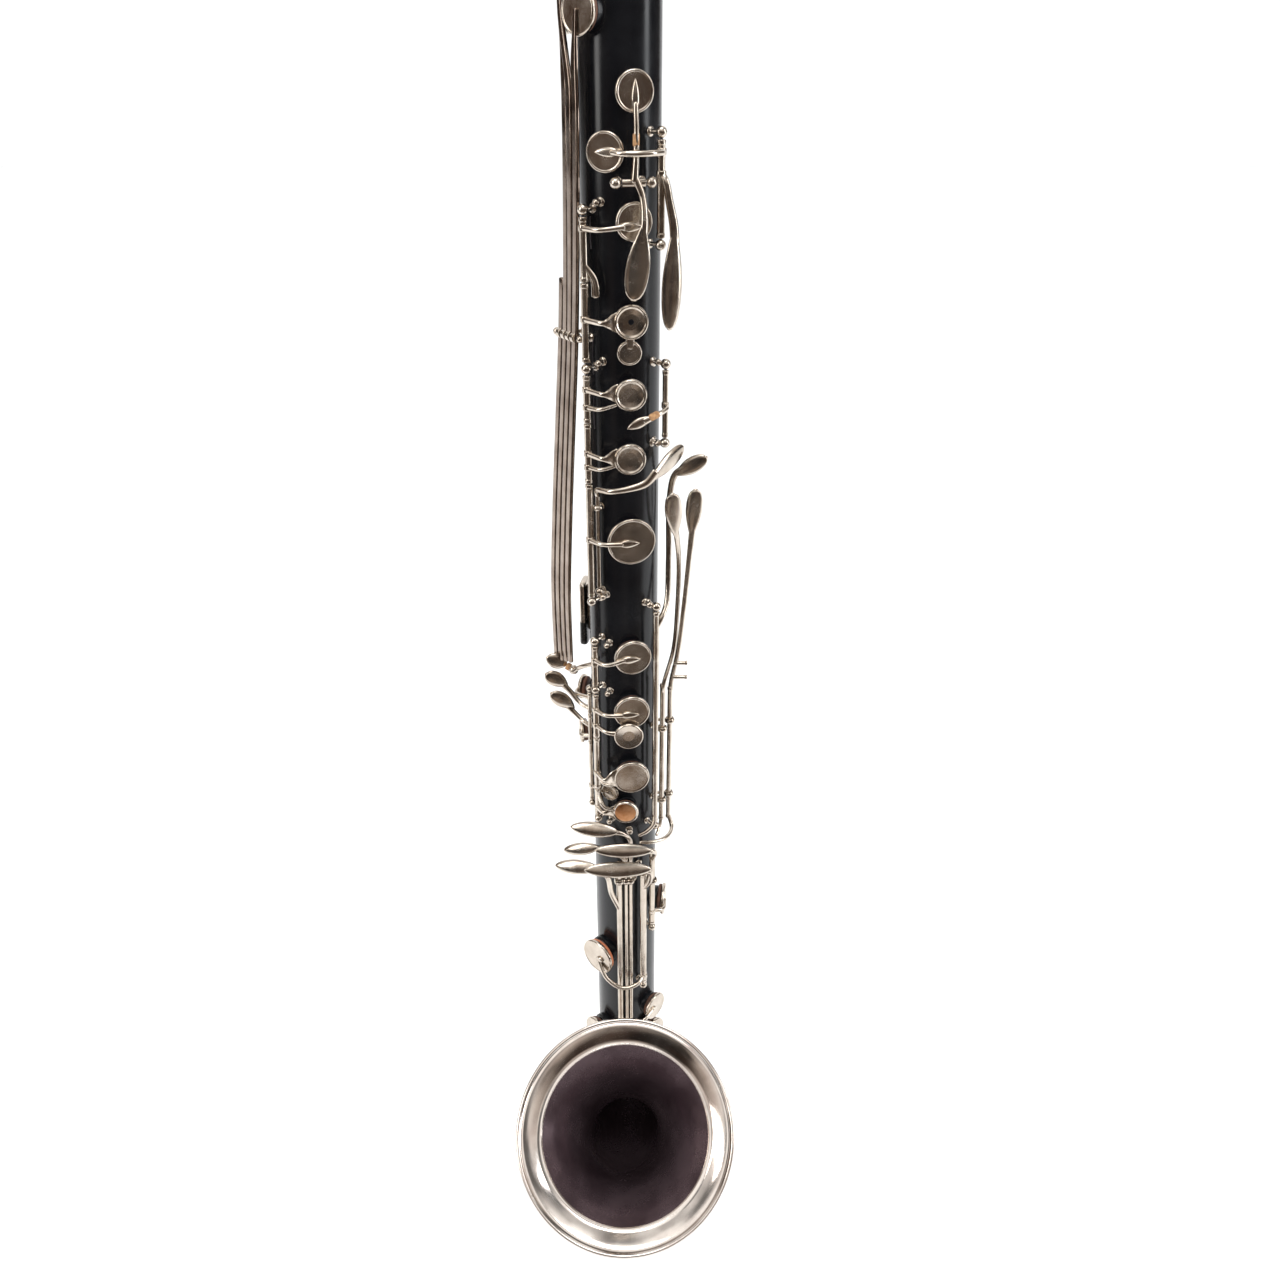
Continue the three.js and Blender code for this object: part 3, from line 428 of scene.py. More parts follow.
# ---- keys
class Key:
    """One key, given in its closed place. open_angle then turns it about its hinge to where it rests."""

    def __init__(self, name, open_angle=0.0):
        self.name = name
        self.open_angle = open_angle
        self.metal = Shape()
        self.pad_shape = None
        hinge = HINGES[name]
        self.point = Vector(hinge["pos_m"])
        self.axis = Vector(hinge["axis"])

    def tube(self, angle, distance, top, bottom, radius=TUBE_R):
        """A hinge tube along the body, thicker at both ends. Collars and stack arms sit on it."""
        self.angle, self.distance, self.radius = angle, distance, radius
        length = top - bottom
        wide = radius * 1.12
        profile = [
            (0, 0), (radius * 0.85, 0), (wide, 0.3), (wide, 1.7), (radius, 2.0), (radius, length - 2.0),
            (wide, length - 1.7), (wide, length - 0.3), (radius * 0.85, length), (0, length),
        ]
        self.metal.turned(at(distance, angle, bottom), UP, eased(profile, 0.15), 24)
        return self

    def cross_tube(self, start, end, radius=TUBE_R):
        """A hinge tube between two posts that stand side by side."""
        post(start)
        post(end)
        axis = unit(end - start)
        length = np.linalg.norm(end - start) - 2 * (BALL_R + GAP)
        profile = [(0, 0), (radius, 0), (radius, length), (0, length)]
        self.metal.turned(start + axis * (BALL_R + GAP), axis, eased(profile, 0.2), 24)
        pin(start, axis, 0.6, length + 4)
        return self

    def collar(self, height, radius=None):
        wide, half = (radius or self.radius) + 0.45, 1.3
        profile = [(0, -half), (wide, -half), (wide, half), (0, half)]
        self.metal.turned(at(self.distance, self.angle, height), UP, eased(profile, 0.4), 24)
        return self

    def cup(self, angle, height, diameter, style="flat", face="nickel", own_pad=True):
        """A cup over its tone hole's rim. Its pad is a piece of its own, or thin and in one with it."""
        r = diameter / 2
        place, out = vec(0, 0, height), outward(angle)
        chimney = [(r * 0.8, 14.0), (r * 0.8, SEAT), (r * 0.6, SEAT), (r * 0.6, 14.0)]
        body.turned(place, out, eased(chimney, 0.4), 40, "black", True)
        low = SEAT + GAP
        base = SEAT + 2 * GAP + PAD_THICK if own_pad else low + THIN_PAD
        top = base + CUP_THICK
        rim = [(0, base), (r - 0.4, base), (r, base + 0.3), (r, top - 0.55), (r - 0.35, top - 0.1)]
        if style == "flat":
            skin = [(r - 0.75, top), (r - 1.15, top - 0.28), (r * 0.5, top - 0.14), (0, top - 0.08)]
        else:
            lip = [(r - 0.55, top + 0.15), (r - 1.0, top + 0.05), (r - 1.7, top - 0.45)]
            skin = lip + [(r * 0.45, top - 1.0), (0, top - 1.1)]
        self.metal.turned(place, out, eased(rim + skin, 0.22), 56)
        if face != "nickel":
            disc = [(0, top - 0.3), (r - 1.35, top - 0.3), (r - 1.35, top - 0.08), (0, top - 0.02)]
            self.metal.turned(place, out, eased(disc, 0.1), 40, face)
        pad_r = r - 0.9
        thick = PAD_THICK if own_pad else THIN_PAD
        profile = [(0, low), (pad_r - 0.5, low), (pad_r, low + 0.5), (pad_r, low + thick), (0, low + thick)]
        target = self.metal
        if own_pad:
            self.pad_shape = target = Shape()
        target.turned(place, out, eased(profile, 0.35), 44, "pad" if self.name == "low_key_5" else "worn_pad")
        return self

    def arm(self, points, size, **more):
        self.metal.sweep(points, size, **more)
        return self

    def leaf(self, *place, **more):
        self.metal.leaf(*place, **more)
        return self

    def stack_arm(self, angle, height, cup_height=None):
        """A round arm from the stack's tube, with a pointed end lying on its cup."""
        high = height if cup_height is None else cup_height
        self.collar(height)
        middle = at(24.6, (self.angle + angle) / 2 - 6, height)
        path = [at(self.distance + 0.6, self.angle, height), middle, on_cup(angle, high, -4.6, 0.5)]
        self.arm(path, [1.3, (2.1, 2.2), (2.3, 1.7)])
        tip = (on_cup(angle, high, -6.4, 0.35), on_cup(angle, high, 3.6, 0.1))
        return self.leaf(*tip, 3.8, 1.9, outward(angle), taper=0.8, fat=0.42)

    def web(self, angle, height, diameter):
        """A flat tang from the stack's tube that spreads out against a plateau cup."""
        r = diameter / 2
        self.collar(height)
        path = [
            at(self.distance + 0.6, self.angle, height), on_cup(angle, height, -r - 4.2, 0.2),
            on_cup(angle, height, -r - 0.6, -0.7), on_cup(angle, height, -r + 1.4, -0.9),
        ]
        sizes = [1.2, (2.2, 1.9), (r * 0.95, 1.3), (r * 1.15, 1.0)]
        return self.arm(path, sizes, face=outward(angle), square=2.6)

    def made(self):
        turn = None
        if self.open_angle:
            spin = Matrix.Rotation(math.radians(self.open_angle), 4, self.axis)
            turn = Matrix.Translation(self.point) @ spin @ Matrix.Translation(-self.point)
        metal = self.metal.made(f"{self.name}_plated", turn)
        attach(metal, self.name)
        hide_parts(self.name)
        if self.pad_shape:
            pad = self.pad_shape.made(f"{self.name}_skin_pad", turn)
            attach(pad, self.name)
            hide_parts(f"{self.name}_pad")


body = Shape()


# ---- throat keys
def throat_a():
    left, right = at(24, -3.3, 211), at(24, 31.3, 211)
    key = Key("throat_a_key").cross_tube(left, right).cup(16.2, 242.3, 15)
    key.arm(
        [at(23.1, 16.2, 238), at(24.0, 16, 230), at(24.2, 15.5, 220), at(24.6, 14, 212)],
        [(2.0, 1.8), (2.1, 2.2), (2.5, 2.6), 1.5],
    )
    key.leaf(on_cup(16.2, 235.6, 0, 0.4), on_cup(16.2, 246.5, 0, 0.1), 3.0, 1.9, outward(16.2), fat=0.4)
    key.arm(
        [at(24.4, 14.5, 213), at(26.0, 20, 206.5), at(28.0, 20.5, 198), at(28.5, 18.8, 190)],
        [(3.0, 2.8), (2.6, 2.4), (2.9, 2.2), (3.0, 1.6)],
    )
    key.leaf(at(27.2, 11.4, 168.2), at(28.6, 20.2, 199), 9.6, 2.6, outward(6), taper=1.0, fat=0.36, blunt=0.5)
    key.arm([at(23.9, 16, 227.6), at(24.1, 15.7, 224.4)], [(2.5, 2.5)] * 2, square=3, material="cork")
    key.made()


def throat_g_sharp():
    post(at(ROD, 46, 228.3))
    post(at(ROD, 46, 187.4))
    rod(46, ROD, 228, 188)
    spring(46, 19.6, 226, -16)
    key = Key("throat_g_sharp_key").tube(46, ROD, 225.8, 189.9).cup(-14.3, 221.7, 15)
    key.collar(221.5).collar(213.5)
    key.arm(
        [on_cup(-14.3, 221.7, 3.0, 0.5), at(25.0, -5, 221.7), at(28.2, 6, 221.5), at(28.4, 26, 221.5),
         at(25.8, 40, 221.5), at(ROD + 0.4, 46, 221.5)],
        [(2.0, 1.6), 1.1, 1.15, 1.2, 1.15, 1.2],
    )
    tip = (on_cup(-14.3, 221.7, 5.6, 0.4), on_cup(-14.3, 221.7, -4.0, 0.1))
    key.leaf(*tip, 3.6, 1.9, outward(-14.3), fat=0.4)
    key.arm(
        [at(ROD, 46, 214), at(25.0, 46, 211), at(25.8, 49, 204), at(27.2, 52, 194), at(27.8, 52, 184)],
        [(2.6, 2.4), (2.8, 2.3), (3.2, 2.2), (3.8, 2.0), (4.2, 1.6)], face=outward(22), square=2.5,
    )
    touch = (at(27.0, 48.4, 154.8), at(27.6, 52.4, 197))
    key.leaf(*touch, 8.8, 2.8, outward(22), taper=0.9, fat=0.38, blunt=0.5)
    key.made()


# ---- left-hand stack
STACK = -40


def left_stack():
    for height in (200.8, 138.3, 29.7):
        post(at(ROD, STACK, height))
        post(at(20.2, STACK + 13, height + 2.6), 1.5)
    rod(STACK, ROD, 200, 31)
    for height, length in ((186, 12), (150, -14), (112, 14), (68, -18)):
        spring(STACK + 3, 19.2, height, length)

    key = Key("left_vent_key").tube(STACK, ROD, 198.3, 173.4).cup(15.3, 196.7, 15)
    key.stack_arm(15.3, 194, 195)
    key.arm(
        [at(ROD, STACK, 180), at(20.4, -31, 174), at(20.2, -30, 168)], [(3.2, 2.6), (3.4, 2.4), (3.6, 1.8)]
    )
    key.made()

    key = Key("left_first_finger_key", -6).tube(STACK, ROD, 173.1, 141)
    key.cup(13.2, 158.7, 14.2, "plateau")
    key.web(13.2, 158.7, 14.2)
    place = vec(0, 0, 158.7)
    vent = [(0, CUP_TOP - 1.2), (1.15, CUP_TOP - 1.2), (1.15, CUP_TOP - 0.85), (0, CUP_TOP - 0.85)]
    key.metal.turned(place, outward(13.2), eased(vent, 0.12), 24, "black")
    key.cup(11.5, 146, 10.4, own_pad=False)
    key.arm([at(20.9, 12.5, 154), at(20.6, 11.8, 148)], [(3.4, 1.0), (3.4, 1.0)])
    key.made()

    for name, angle, height, strut, diameter in (
        ("left_second_finger_key", 12.5, 128.7, 122.0, 13.8),
        ("left_third_finger_key", 11.3, 100.7, 95.4, 14.0),
    ):
        top, bottom = (135.7, 115.2) if height > 120 else (114.9, 88)
        key = Key(name, -6).tube(STACK, ROD, top, bottom).cup(angle, height, diameter, "plateau")
        key.web(angle, height + 0.9, diameter)
        key.collar(strut)
        key.arm(
            [at(ROD + 0.5, STACK, strut), at(23.4, -20, strut + 0.6), at(22.1, -4, strut + 2.6)],
            [1.15, 0.95, (1.4, 1.0)],
        )
        key.made()

    key = Key("c_sharp_cup_key").tube(STACK, ROD, 87.7, 32.2).cup(11.2, 61.5, 22)
    key.stack_arm(11.2, 61).made()

    post(at(19.4, -34, 34.4), 1.9)
    posts.turned(at(19.4, -34, 76), UP, ring(THIN_TUBE_R + GAP, 1.0, 2.2), 24, "nickel", True)
    post_foot(-34, 19.4 - 2.0, 76)
    key = Key("c_sharp_lever").tube(-34, 19.4, 84.5, 36.5, THIN_TUBE_R)
    key.arm(
        [at(19.4, -34, 82), at(23.4, -27, 86), at(27.6, -10, 87.6), at(28.2, 6, 89), at(28.2, 22, 91),
         at(28.2, 32, 95)],
        [1.2, (2.5, 2.4), (2.6, 2.3), (2.8, 2.1), (3.6, 1.9), (4.4, 1.7)],
    )
    touch = (vec(27.2, -3.4, 99.8), at(28.2, 24, 91))
    key.leaf(*touch, 8.0, 2.6, outward(40), taper=0.9, fat=0.36, blunt=0.5).made()

    post(at(ROD, 57, 139.2))
    post(at(ROD, 57, 104.7))
    post(at(19.6, 53, 139.8), 1.5)
    post(at(19.6, 53, 104.2), 1.5)
    rod(57, ROD, 139, 105)
    key = Key("sliver_key").tube(57, ROD, 136.7, 107.2, 1.25).collar(121.5, 1.2)
    key.arm(
        [at(ROD, 57, 121.5), at(25.4, 50, 121.2), at(27, 36, 120.2), at(27.2, 22, 118.3)],
        [1.1, 1.0, (2.2, 1.8), (3, 1.5)],
    )
    key.leaf(at(27.2, 31, 120), at(27, 5.6, 115.5), 4.4, 2.0, outward(16), fat=0.55)
    key.arm([at(27.4, 28, 119.6), at(27.2, 34, 120.4)], [(2.9, 2.5)] * 2, square=3, material="cork").made()


# ---- left little-finger levers
def little_finger_levers():
    post(at(ROD, 44, 26.5))
    post(at(20.3, 38, 27.4), 1.7)
    post(at(ROD, 44, -101.7))
    rod(44, ROD, 26, -101)
    key = Key("little_finger_lever_1").tube(44, ROD, 24, -99.2, 1.5)
    key.arm(
        [(28, -1.2, 89.4), (24, -0.9, 86), (21.8, -0.9, 77), (21.4, -5.1, 45), (20.6, -10.5, 25.5),
         at(23.6, 50, 20), at(ROD, 44, 15)],
        [(3.6, 1.9), (3.4, 2.0), (2.9, 2.3), (2.7, 2.4), (2.7, 2.5), (2.7, 2.5), (2.9, 2.6)],
        face=vec(0.35, -1, 0),
    )
    touch = (vec(38, -2.4, 94.8), vec(23.6, -1, 85.6))
    key.leaf(*touch, 7.8, 2.8, vec(0.2, -1, 0.25), taper=0.8, fat=0.42, blunt=0.5)
    key.arm(
        [at(ROD, 44, -94), at(24.4, 38, -98.4), at(24.6, 28, -101.4), at(24.2, 19, -103)],
        [(2.6, 2.4), (2.5, 2.3), (2.4, 2.1), (2.0, 1.7)],
    ).made()

    for height in (-44, -88):
        saddle(58.3, ROD, height, LEVER_TUBE_R)
    key = Key("little_finger_lever_2").tube(58.3, ROD, -18, -101, LEVER_TUBE_R)
    key.arm(
        [(23.4, -11.3, 69), (25, -5.6, 58), (26.4, -1.6, 43.6), (26.1, -1.8, 20), (24.4, -4.6, -3),
         at(23.4, 58, -17), at(ROD, 58.3, -24)],
        [(3.4, 1.8), (2.9, 2.0), (2.5, 2.1), (2.3, 2.1), (2.3, 2.1), (2.2, 2.1), 1.05],
        face=vec(0.45, -0.9, 0),
    )
    touch = (vec(22.4, -13, 81), vec(24.6, -8.8, 57))
    key.leaf(*touch, 8.2, 2.8, vec(0.25, -1, 0.1), taper=1.0, fat=0.34, blunt=0.45)
    key.arm([at(ROD, 58.3, -99), at(23.4, 52, -103.6), at(25.2, 42, -106)], [0.95, 1.0, (1.9, 1.7)]).made()

    for height in (-46, -92):
        saddle(87.5, 23.2, height, LEVER_TUBE_R)
    key = Key("little_finger_lever_3").tube(87.5, 23.2, -26, -108, LEVER_TUBE_R)
    key.arm(
        [(32.6, -1.8, 62), (31.2, -1.5, 43.8), (29.3, -1.3, 19.4), (26.8, -1, -6), (23.6, -1, -24),
         at(23.2, 87.5, -32)],
        [(3.2, 1.8), (2.7, 2.1), (2.5, 2.3), (2.5, 2.3), (2.5, 2.3), 1.2],
        face=vec(0, -1, 0),
    )
    touch = (vec(33.5, -2, 79), vec(31.9, -1.6, 53))
    key.leaf(*touch, 7.8, 2.8, vec(0.1, -1, 0.1), taper=1.0, fat=0.34, blunt=0.45)
    stud = eased([(0, 0), (1.0, 0), (1.0, 6.0), (1.25, 6.3), (1.25, 7.0), (0, 7.0)], 0.3)
    for height in (-12.3, -20.4):
        key.metal.turned(vec(24.6, -1.2, height), vec(1, 0, 0), stud, 20)
    key.arm(
        [at(23.2, 87.5, -106), at(25.4, 80, -111), at(26.6, 58, -110.6), at(25.8, 36, -109),
         at(24.6, 20, -107.6)],
        [1.2, 1.2, 1.15, (2.2, 2.1), (2.0, 1.7)],
    ).made()


# ---- side levers
ROCKER = 150  # height of the rod that the side levers rock on
ROCKER_OUTER, ROCKER_INNER = vec(-27.6, 1.0, ROCKER), vec(-17.0, -14.9, ROCKER)
LEVER_FOOT_OUTER, LEVER_FOOT_INNER = vec(-33.2, -1.6, 0), vec(-25.8, -12.6, 0)
SIDE_TOUCH_FACE = vec(-0.3, -1, 0.35)  # the way the side touches face


def lever_at(share, height):
    """A side lever's place across its row, at a height."""
    high = at(22.4, mix(-78, -47, share), height)
    middle = mix(ROCKER_OUTER, ROCKER_INNER, 0.2 + 0.6 * share)
    low = mix(LEVER_FOOT_OUTER, LEVER_FOOT_INNER, share)
    middle, low = vec(middle[0], middle[1], height), vec(low[0], low[1], height)
    if height > ROCKER:
        return mix(middle, high, min(1, (height - ROCKER) / 70))
    return mix(middle, low, min(1, (ROCKER - height) / 110))


def side_levers():
    post(ROCKER_OUTER, 1.7)
    post(ROCKER_INNER, 1.5)
    axis = unit(ROCKER_INNER - ROCKER_OUTER)
    length = np.linalg.norm(ROCKER_INNER - ROCKER_OUTER)
    pin(ROCKER_OUTER, axis, 0.7, length, 16)
    row = unit(LEVER_FOOT_INNER - LEVER_FOOT_OUTER)
    face = vec(row[1], -row[0], 0)
    cups = (None, (-98, 268, 14), (-74, 292, 17), (-43, 268.5, 17))
    for number, place in enumerate(cups):
        share = number / 3
        top = (172, 250, 244, 252)[number]
        bottom = -11 if number == 0 else -9 + 1.5 * number
        heights = [h for h in (top, 235, 200, ROCKER, 110, 70, 30, bottom) if h <= top]
        points = [lever_at(share, h) for h in heights]
        sizes = [(3.5, 1.9)] * len(points)
        key = Key(f"side_lever_{number + 1}")
        knuckle = eased([(1.0, 0), (2.3, 0), (2.3, 2.6), (1.0, 2.6)], 0.3)
        key.metal.turned(lever_at(share, ROCKER) - axis * 1.3, axis, knuckle, 28, "nickel", True)
        if place:
            angle, height, diameter = place
            key.cup(angle, height, diameter, own_pad=number == 3)
            if number == 2:
                points.insert(0, at(22.4, angle, 268))
                sizes.insert(0, (2.8, 1.8))
            points.insert(0, on_cup(angle, height, 0, 0.4))
            sizes.insert(0, (1.4, 1.2))
        # The levers take the nickel colours darkened by painted shade.
        key.arm(points, sizes, face=face, square=4, sides=24, per_span=6, material="lever")
        if number == 0:
            key.leaf(vec(-38.4, -3, -8.2), vec(-28.4, -2, -12.6), 8.2, 3.0, SIDE_TOUCH_FACE, taper=0.5)
            cork = [(0, 0), (1.9, 0), (1.9, 2.2), (0, 2.2)]
            key.metal.turned(vec(-28.4, -3.4, -12.6), vec(0.5, -0.2, -0.2), eased(cork, 0.4), 20, "cork")
        key.made()


# ---- right-hand stack
LOWER_STACK = -37
SIDE_STACK = -58


def touch_plate(key, angle, height, base, diameter):
    """A round finger plate with a dished face."""
    r = diameter / 2
    profile = [
        (0, base), (r - 0.5, base), (r, base + 0.5), (r, base + 1.2), (r - 0.5, base + 1.8),
        (r - 1.0, base + 1.7), (r * 0.4, base + 1.1), (0, base + 1.0),
    ]
    key.metal.turned(vec(0, 0, height), outward(angle), eased(profile, 0.25), 48)


def right_stack():
    for height in (9.1, -17.7, -95.5):
        post(at(ROD, LOWER_STACK, height))
        post(at(20.0, LOWER_STACK + 14, height - 2.2), 1.5)
    for height in (-21.4, -91):
        post(at(INNER_ROD, SIDE_STACK, height), 1.8)
    rod(LOWER_STACK, ROD, 9, -95)
    rod(SIDE_STACK, INNER_ROD, -22, -90.5, 0.5)
    for height, length in ((-8, 12), (-34, -14), (-60, 12), (-84, -9)):
        spring(LOWER_STACK + 3, 19.2, height, length)

    key = Key("right_trill_key").tube(LOWER_STACK, ROD, 6.6, -15.2).cup(12.5, 1.7, 18)
    key.stack_arm(12.5, -1, 1.2).collar(-3)
    key.arm([at(ROD, LOWER_STACK, -3), at(24.8, -55, -7), at(25.6, -74, -13)], 1.15)
    key.metal.turned(at(25.4, -78, -13.8), outward(-78), ball_profile(2.4), 24)
    key.made()

    key = Key("right_first_finger_key", -4).tube(LOWER_STACK, ROD, -20.2, -45).cup(11.5, -28, 17.6)
    key.stack_arm(11.5, -29).collar(-38)
    key.arm(
        [at(ROD + 0.6, LOWER_STACK, -38), at(24.4, -17, -39), at(23.0, 1, -40)], [1.15, 1.1, (3.4, 1.0)]
    )
    touch_plate(key, 7.1, -40.2, 23.2, 14.4)
    key.made()

    for name, open_angle, angle, height, diameter, ends, hook, face in (
        ("right_second_finger_key", -5, 10.7, -66.6, 18.4, (-45.3, -76),
         [at(ROD, LOWER_STACK, -66), at(24.2, -24, -70.4), at(24.4, -13, -70)], "nickel"),
        ("right_third_finger_key", -6, 2.7, -88.1, 13.4, (-76.3, -93),
         [at(ROD, LOWER_STACK, -80), at(24.2, -24, -85), at(22.6, -12, -87)], "copper"),
    ):
        key = Key(name, open_angle).tube(LOWER_STACK, ROD, *ends)
        key.cup(angle, height, diameter, "flat" if face == "nickel" else "plateau", face=face)
        key.web(angle, height, diameter)
        key.arm(hook, [1.2, 1.1, (1.7, 1.3)]).made()

    key = Key("right_bridge_key").tube(SIDE_STACK, INNER_ROD, -52.3, -88.9, 1.2)
    key.collar(-80)
    vent = [(0, 17.2), (4.4, 17.2), (4.8, 17.6), (4.8, 18.6), (4.3, 19.2), (3.6, 19.1), (0, 19.0)]
    key.metal.turned(vec(0, 0, -80), outward(-24), eased(vent, 0.2), 40)
    rim = [(3.8, 14), (3.8, 16.9), (2.9, 16.9), (2.9, 14)]
    body.turned(vec(0, 0, -80), outward(-24), rim, 32, "black", True)
    path = [at(INNER_ROD, SIDE_STACK, -80), at(19.6, -40, -80), at(19.1, -27, -80)]
    key.arm(path, [0.95, (1.8, 1.5), (1.6, 1.0)])
    key.made()


# ---- side keys
def side_keys():
    """Each key: its tube's ends, its cup, its arm to the cup, its stem and its touch."""
    table = (
        ("side_key_upper", (-23.6, -36.2), (-112, -31, 13),
         [at(INNER_ROD, SIDE_STACK, -27), at(23.4, -85, -29), at(CUP_TOP + 0.3, -108, -31)],
         [at(INNER_ROD, SIDE_STACK, -33.4), (-22, -6, -32), (-26.4, -3.4, -27), (-31.6, -2.8, -21)],
         (vec(-38.2, -3.5, -16.2), vec(-27.4, -2.5, -24))),
        ("side_key_lower", (-36.5, -52), (-86, -51.4, 13.4),
         [at(INNER_ROD, SIDE_STACK, -49), at(22.8, -70, -50.4), at(CUP_TOP + 0.2, -82, -51.4)],
         [at(INNER_ROD, SIDE_STACK, -43.6), (-21, -6, -42.4), (-25, -3.6, -39), (-29, -2.8, -34.6)],
         (vec(-36, -3.5, -27.4), vec(-24.4, -2.5, -37.6))),
    )
    for name, ends, cup, arm, stem, touch in table:
        key = Key(name, 5).tube(SIDE_STACK, INNER_ROD, *ends, 1.2).cup(*cup)
        key.arm(arm, [1.1, 1.1, (3.0, 1.4)])
        key.arm(stem, [1.15, (2.4, 2.2), (2.8, 2.0), (3.4, 1.8)], face=vec(-0.3, -1, 0.3))
        key.leaf(*touch, 8.0, 3.0, SIDE_TOUCH_FACE, fat=0.42, blunt=0.5).made()


# ---- right little-finger keys
FAN = vec(0, -0.86, 0.5)  # the way the little finger's touches face


def low_keys():
    """Each key: its tube's angle, radius, top and bottom, its cup, its arm, its touch and its link."""
    table = (
        ("low_key_1", 0, (7.8, THIN_TUBE_R, -112, -243.4), (51.5, -236.5, 16.4),
         [at(ROD, 7.8, -239), at(25, 22, -238), at(CUP_TOP + 0.4, 46, -236.5)],
         (vec(-28, -20.2, -99.6), vec(-3.4, -27.2, -97.5), 8.0),
         [(-8, -26, -98.2), (-0.6, -24.8, -100.8), (2.9, -22.7, -107), at(ROD, 7.8, -116)], 2.2),
        ("low_key_2", 0, (1.5, THIN_TUBE_R, -118, -261.4), (48, -256, 17),
         [at(ROD, 1.5, -256.5), at(25, 20, -256.5), at(CUP_TOP + 0.4, 43, -256)],
         (vec(-32.2, -19.4, -115.7), vec(-13.6, -25.0, -109.4), 6.8),
         [(-15.6, -24.6, -110), (-9, -24.6, -111.6), (-3, -23.8, -115), at(ROD, 1.5, -122)], 2.2),
        ("low_key_3", 0, (40.2, 1.55, -117, -168.8), (82.7, -163.8, 17.6),
         [at(ROD, 40.2, -160), at(24.4, 58, -162), at(CUP_TOP + 0.3, 78, -163.8)],
         (vec(-15.2, -29.6, -107.6), vec(14.0, -25.9, -110.8), 7.6),
         [(10, -26.4, -110.6), (14.6, -24.6, -112.4), (16, -20.8, -116.6), at(ROD, 40.2, -124)], 2.6),
        ("low_key_4", 6, (-7.7, 1.6, -123, -259.6), (-52, -255, 17.4),
         [at(ROD, -7.7, -255), at(24.6, -24, -255), at(CUP_TOP + 0.4, -46, -255)],
         (vec(-36.6, -16, -126), vec(-14.8, -25.9, -121.4), 8.0),
         [(-19, -24.2, -122.6), (-13.4, -25.2, -124.2), (-9.4, -25, -129), (-7.6, -24.4, -140),
          at(ROD, -7.7, -154)], 2.8),
        ("low_key_5", 5, (25.7, 1.9, -130.4, -209.4), (-46, -193.6, 21),
         [at(ROD, 25.7, -205), at(26.0, 12, -206.6), at(26.6, -6, -207.4), at(25.6, -25, -202.6),
          at(CUP_TOP + 0.3, -43, -195)],
         (vec(-21.6, -29.6, -118.4), vec(13.4, -26, -123.3), 8.6),
         [(8.4, -26.6, -122.6), (12.8, -25.6, -126), (12.8, -24, -133), at(ROD, 25.7, -141)], 2.8),
    )
    for name, open_angle, tube, cup, arm, (left, right, width), link, thick in table:
        key = Key(name, open_angle).tube(tube[0], ROD, *tube[2:], tube[1]).cup(*cup)
        key.collar(arm[0][2])
        key.arm(arm, [1.2] * (len(arm) - 1) + [(3.2, 1.6)])
        angle, height = cup[:2]
        tip = (on_cup(angle, height, -5.0 if angle > 0 else 5.0, 0.4), on_cup(angle, height, 0, 0.1))
        key.leaf(*tip, 3.6, 1.9, outward(angle))
        key.leaf(left, right, width, 3.0, FAN, taper=0.5, rise=0.4)
        key.arm(link, [(3.4, 1.8)] + [(thick, thick * 0.9)] * (len(link) - 1), face=FAN).made()
    for angle, height, ball in (
        (8.6, -245.4, 1.5), (1.5, -263.6, 1.9), (40.2, -171.3, BALL_R), (-7.7, -262, 1.9),
        (25.7, -212, BALL_R), (25.7, -127.8, BALL_R),
    ):
        post(at(ROD, angle, height), ball)
    saddle(40.2, ROD, -138, 1.55)
    post(at(18.8, 7.9, -104), 1.7)
    block = [(-4.4, -19.0, -134), (4.8, -19.0, -134)]
    posts.sweep(block, [(3.2, 5.2)] * 2, face=vec(0, -1, 0), square=5)
    for angle, radius in ((-7.7, 1.6), (1.5, THIN_TUBE_R), (7.8, THIN_TUBE_R)):
        posts.turned(at(ROD, angle, -134), UP, ring(radius + GAP, 0.8, 3.0), 28, "nickel", True)


# ---- thumb keys
def thumb_keys():
    post(at(ROD, 146, 167.5))
    post(at(ROD, 146, 137.5))
    rod(146, ROD, 167, 138)
    key = Key("thumb_key", -6).tube(146, ROD, 165, 140).collar(152)
    key.cup(180, 152, 14, "plateau", own_pad=False)
    key.arm([at(ROD, 146, 152), at(22.8, 158, 152), at(21.4, 170, 152)], [1.2, (4, 2), (8, 1.4)]).made()

    left, right = at(22, 158, 206), at(22, -158, 206)
    key = Key("register_key").cross_tube(left, right).cup(180, 232, 9, own_pad=False)
    key.arm(
        [at(21.6, 180, 233), at(22.4, 180, 220), at(20.8, 180, 206), at(24, 180, 194), at(25, 180, 184)],
        [(2.2, 1.8), (2.6, 2.4), (3.4, 3.0), (3.4, 2.6), (6.0, 2.0)],
    )
    key.leaf(at(25, 180, 191), at(24, 180, 167), 9.4, 2.4, outward(180), taper=0.5).made()


# ---- thumb rest and strap ring
def rides_on_root(obj, material_slot, *nodes):
    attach(obj, ROOT)
    if nodes:
        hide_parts(*nodes)


